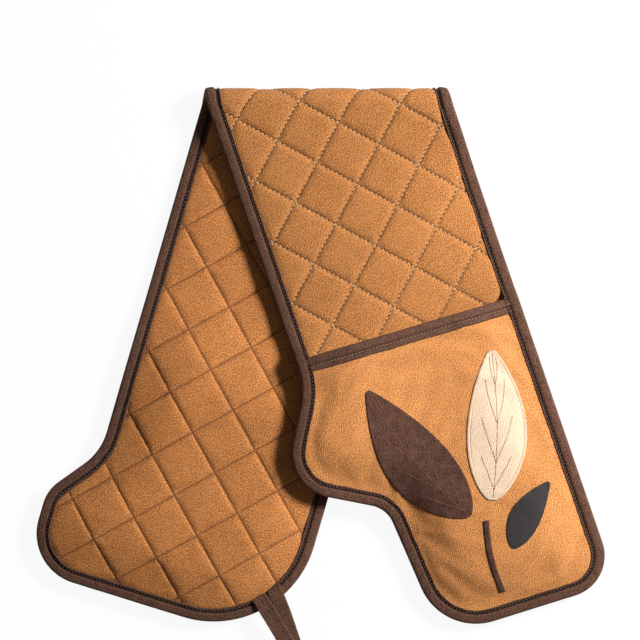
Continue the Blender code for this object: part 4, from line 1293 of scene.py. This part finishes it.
def on_pocket(uv, lift):
    """World places on the front pocket's cloth."""
    cloth = front_pocket()
    shift = cloth.at(cloth.shift, uv)
    level = cloth.at(cloth.top, uv) + shift[..., 2] + lift
    return np.c_[cloth.plan.world(uv + shift[..., :2]), level]


class GLOVE_OT_leaf_patches(bpy.types.Operator):
    """Leaf sprig sewn on the front pocket, with its satin border and veins"""
    bl_idname = "glove.leaf_patches"
    bl_label = "Leaf patches"

    def execute(self, context):
        for name, leaf in LEAVES.items():
            self.patch(name, leaf)
        width = context.scene.glove_sizes.satin_width
        grid = leaf_places(LEAVES["leaf_cream"], 60, 3, width / 2 - 0.6 * MM)
        border = on_pocket(np.vstack([grid[:, 0], grid[::-1, -1], grid[:1, 0]]), 0.75 * MM)
        piece = sewn(
            "leaf_cream_satin", [border], 0.5 * MM, width, 0.34 * MM, "cream", "front_half",
            0.35, 1.0,
        )
        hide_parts("leaf_cream_border")
        veins, middle = [], 20
        for name in ("leaf_cream", "leaf_large"):
            grid = leaf_places(LEAVES[name], 41, 2 * middle + 1)
            veins.append(on_pocket(grid[3:38, middle], 1.0 * MM))
            for start in (6, 13, 20, 27):
                for way in (1, -1):
                    reach = [grid[start + step, middle + way * step] for step in range(9)]
                    veins.append(on_pocket(np.array(reach), 1.0 * MM))
        sewn("leaf_veins", veins, 1.6 * MM, 1.5 * MM, 0.32 * MM, "rust", "front_half")
        return {"FINISHED"}

    def patch(self, name, leaf):
        """One leaf of cloth, turned down at its rim."""
        stem = leaf.width < STEM_WIDTH
        rows, columns = (24, 6) if stem else (44, 22)
        grid = leaf_places(leaf, rows, columns)
        uv = grid.reshape(-1, 2)
        index = np.arange(rows * columns).reshape(rows, columns)
        inner = np.zeros((rows, columns), bool)
        inner[1:-1, 1:-1] = True
        lift = np.where(inner.ravel(), LEAF_TOP, LEAF_RIM)
        top, bottom = on_pocket(uv, lift), on_pocket(uv, LEAF_UNDER)
        rings = [index[a:a + rows - 1, b:b + columns - 1].ravel() for a, b in AROUND]
        faces = np.stack(rings, 1).tolist()
        a, b, c = (top[faces[len(faces) // 2][k]] for k in range(3))
        if np.cross(b - a, c - a)[2] < 0:
            faces = [face[::-1] for face in faces]
        # The rim, where the leaf turns down, gets painted shade through a low shade mask
        finish, full = woven(leaf.colour, leaf.weave), np.where(inner.ravel(), 1, 0.15)
        piece = sheet_piece(
            f"{name}_patch", top, bottom, faces, finish, "front_half", uv, full
        )
        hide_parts(name)
        if not stem:
            run = grid[-1].mean(0) - grid[0].mean(0)
            run /= np.linalg.norm(run)


# The hanging loop: the tape's width, how far it reaches, and its turn at the tip
LOOP_WIDTH = 12 * MM
LOOP_REACH = 62 * MM
LOOP_TURN = 3.6 * MM
LOOP_HEADING = np.array((0.512, -0.859))


def loop_route():
    """The hanging loop's route as distance out, sideways shift and height."""
    root, crown, tip_shift = LOOP_ROOT[2], 1.5 * MM, 1.6 * MM
    turn_out = LOOP_REACH - LOOP_TURN
    floor = 0.3 * MM + TAPE / 2
    side = (LOOP_WIDTH + 1.4 * MM) / 2
    route = []
    for share in np.linspace(0, 1, 31)[:-1]:
        level = root + (floor + 2 * LOOP_TURN - root) * smooth(share)
        route.append((turn_out * share, -side, level + crown * math.sin(math.pi * share)))
    for share in (step / 14 for step in range(15)):
        angle = math.pi * share
        out, level = LOOP_TURN * math.sin(angle), LOOP_TURN * (1 + math.cos(angle))
        route.append((turn_out + out, -side + tip_shift * share, floor + level))
    landing = TAPE_WIDTH + root - floor
    for share in np.linspace(0, 1, 34)[1:]:
        out = turn_out * (1 - share)
        climb = smooth((landing + TAPE_WIDTH / 2 - out) / landing)
        across = -side + tip_shift + (2 * side - tip_shift) * share
        route.append((out, across, floor + (root - floor) * climb))
    return np.array(route)


class GLOVE_OT_hanging_loop(bpy.types.Operator):
    """Loop of tape at the back half's toe, with its stitching"""
    bl_idname = "glove.hanging_loop"
    bl_label = "Hanging loop"

    def execute(self, context):
        sizes = context.scene.glove_sizes
        sideways = np.array((-LOOP_HEADING[1], LOOP_HEADING[0]))
        route = loop_route()
        walk = travelled(route[:, :2])
        half, thick = LOOP_WIDTH / 2, TAPE / 2
        # The tape's section, with a groove where its stitches run at 0.66
        under = ((1, -0.5), (0.94, -1), (0.72, -1.12), (0, -1))
        over = ((1, 0.5), (0.94, 1), (0.78, 1.15), (0.66, 0.75), (0, 1.1))
        profile = [(-across, lift) for across, lift in under]
        profile += [*under[-2::-1], *over, *((-across, lift) for across, lift in over[-2::-1])]
        sections, run_of_stitches = [], []
        for index, (out, shift, level) in enumerate(route):
            before, after = route[max(index - 1, 0)], route[min(index + 1, len(route) - 1)]
            run = np.array((after[0] - before[0], after[2] - before[2]))
            rise = np.array((-run[1], run[0])) / np.linalg.norm(run)
            sag = 0.25 * MM * math.sin(walk[index] / (14 * MM))

            def place(across, lift):
                ground = LOOP_HEADING * (out + rise[0] * lift) + sideways * (shift + sag + across)
                return (*(np.array(LOOP_ROOT[:2]) + ground), level + rise[1] * lift)

            sections.append([place(half * across, thick * lift) for across, lift in profile])
            run_of_stitches.append(place(half * 0.7, thick * 0.95))
        # Along the stitched groove at 0.66 the shade mask is low, so the material paints shade
        # there
        section = [
            (half * across, thick * lift, 0.2 if abs(across) == 0.66 else 1.0)
            for across, lift in profile
        ]
        piece = tape_piece("hanging_tape", sections, walk, section, "hanging_loop")
        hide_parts("hanging_loop")
        pitch, radius = sizes.tape_stitch, sizes.thread * 0.8
        sewn(
            "hanging_stitches", [run_of_stitches], pitch, pitch * STITCH_SHARE, radius, "cocoa",
            "hanging_loop",
        )
        return {"FINISHED"}


# The lamps by place, power and size
LAMPS = {
    "key": ((1.14, 0.53, 0.99), 42.8, 0.36),
    "fill": ((-1.0, 1.0, 1.5), 0.5, 1.4),
}
WORLD_LIGHT = 0.11
FLOOR_GLOW = 0.93
# The level at which the camera takes in the photograph's width, its height over that, its place
# across the table, and its sensor's width in millimetres
FRAME_LEVEL, FRAME_WIDTH = 0.015, 0.4966
CAMERA_HEIGHT = 2.2
CAMERA_PLACE = (-0.0006, 0.0464)
SENSOR = 36


class GLOVE_OT_stage(bpy.types.Operator):
    """Pale floor, soft light and the camera above"""
    bl_idname = "glove.stage"
    bl_label = "Stage"

    def execute(self, context):
        scene = context.scene
        scene.view_settings.view_transform = "Standard"
        half = 4
        corners = [(-half, -half, 0), (half, -half, 0), (half, half, 0), (-half, half, 0)]
        floor = riding("floor", raw_mesh("floor", corners, [(0, 1, 2, 3)]), None)
        floor.location.z = -0.2 * MM
        floor.data.materials.append(self.pale())
        world = bpy.data.worlds.new("studio")
        world.use_nodes = True
        background = world.node_tree.nodes["Background"]
        background.inputs["Color"].default_value = (1, 1, 1, 1)
        background.inputs["Strength"].default_value = WORLD_LIGHT
        scene.world = world
        for name, (place, power, size) in LAMPS.items():
            lamp = bpy.data.lights.new(name, "AREA")
            lamp.energy, lamp.size = power, size
            thing = riding(name, lamp, None)
            thing.location = place
            thing.rotation_euler = (-Vector(place)).to_track_quat("-Z", "Y").to_euler()
        view = bpy.data.cameras.new("overhead")
        view.lens = SENSOR * CAMERA_HEIGHT / FRAME_WIDTH
        scene.camera = riding("overhead", view, None)
        scene.camera.location = (*CAMERA_PLACE, CAMERA_HEIGHT + FRAME_LEVEL)
        return {"FINISHED"}

    def pale(self):
        """White to the camera and in reflections, and a pale floor that keeps its shadow."""
        finish = bpy.data.materials.new("floor")
        finish.use_nodes = True
        tree = finish.node_tree
        shader = tree.nodes["Principled BSDF"]
        shader.inputs["Base Color"].default_value = (0.94, 0.94, 0.94, 1)
        shader.inputs["Roughness"].default_value = 0.9
        glow = add_node(tree, "ShaderNodeEmission", {"Color": (1, 1, 1, 1)})
        path = tree.nodes.new("ShaderNodeLightPath").outputs
        straight = math_node(tree, "ADD", path["Is Camera Ray"], path["Is Glossy Ray"])
        straight = math_node(tree, "ADD", straight, path["Is Transmission Ray"])
        straight = math_node(tree, "MINIMUM", straight, 1.0)
        share = math_node(tree, "MULTIPLY", straight, FLOOR_GLOW)
        mix = add_node(
            tree, "ShaderNodeMixShader", {0: share, 1: shader.outputs[0], 2: glow.outputs[0]}
        )
        tree.links.new(mix.outputs[0], tree.nodes["Material Output"].inputs["Surface"])
        return finish


class GLOVE_PT_panel(bpy.types.Panel):
    """Makes the glove's pieces one by one"""
    bl_idname = "GLOVE_PT_panel"
    bl_label = "Oven glove"
    bl_space_type = "VIEW_3D"
    bl_region_type = "UI"
    bl_category = "Oven glove"

    def draw(self, context):
        for group in (context.scene.glove_sizes, context.scene.glove_colours):
            for name in group.__annotations__:
                self.layout.prop(group, name)
        for operator in OPERATORS:
            self.layout.operator(operator.bl_idname)


OPERATORS = (
    GLOVE_OT_front_strip,
    GLOVE_OT_back_strip,
    GLOVE_OT_pockets,
    GLOVE_OT_edge_tape,
    GLOVE_OT_mouth_tapes,
    GLOVE_OT_quilt_stitches,
    GLOVE_OT_leaf_patches,
    GLOVE_OT_hanging_loop,
    GLOVE_OT_stage,
)
CLASSES = (GloveSizes, GloveColours, *OPERATORS, GLOVE_PT_panel)


def register():
    for kind in CLASSES:
        bpy.utils.register_class(kind)
    bpy.types.Scene.glove_sizes = PointerProperty(type=GloveSizes)
    bpy.types.Scene.glove_colours = PointerProperty(type=GloveColours)


def unregister():
    del bpy.types.Scene.glove_colours
    del bpy.types.Scene.glove_sizes
    for kind in reversed(CLASSES):
        bpy.utils.unregister_class(kind)


def main():
    register()
    for operator in OPERATORS:
        getattr(bpy.ops.glove, operator.bl_idname.split(".")[1])()


if __name__ == "__main__":
    main()
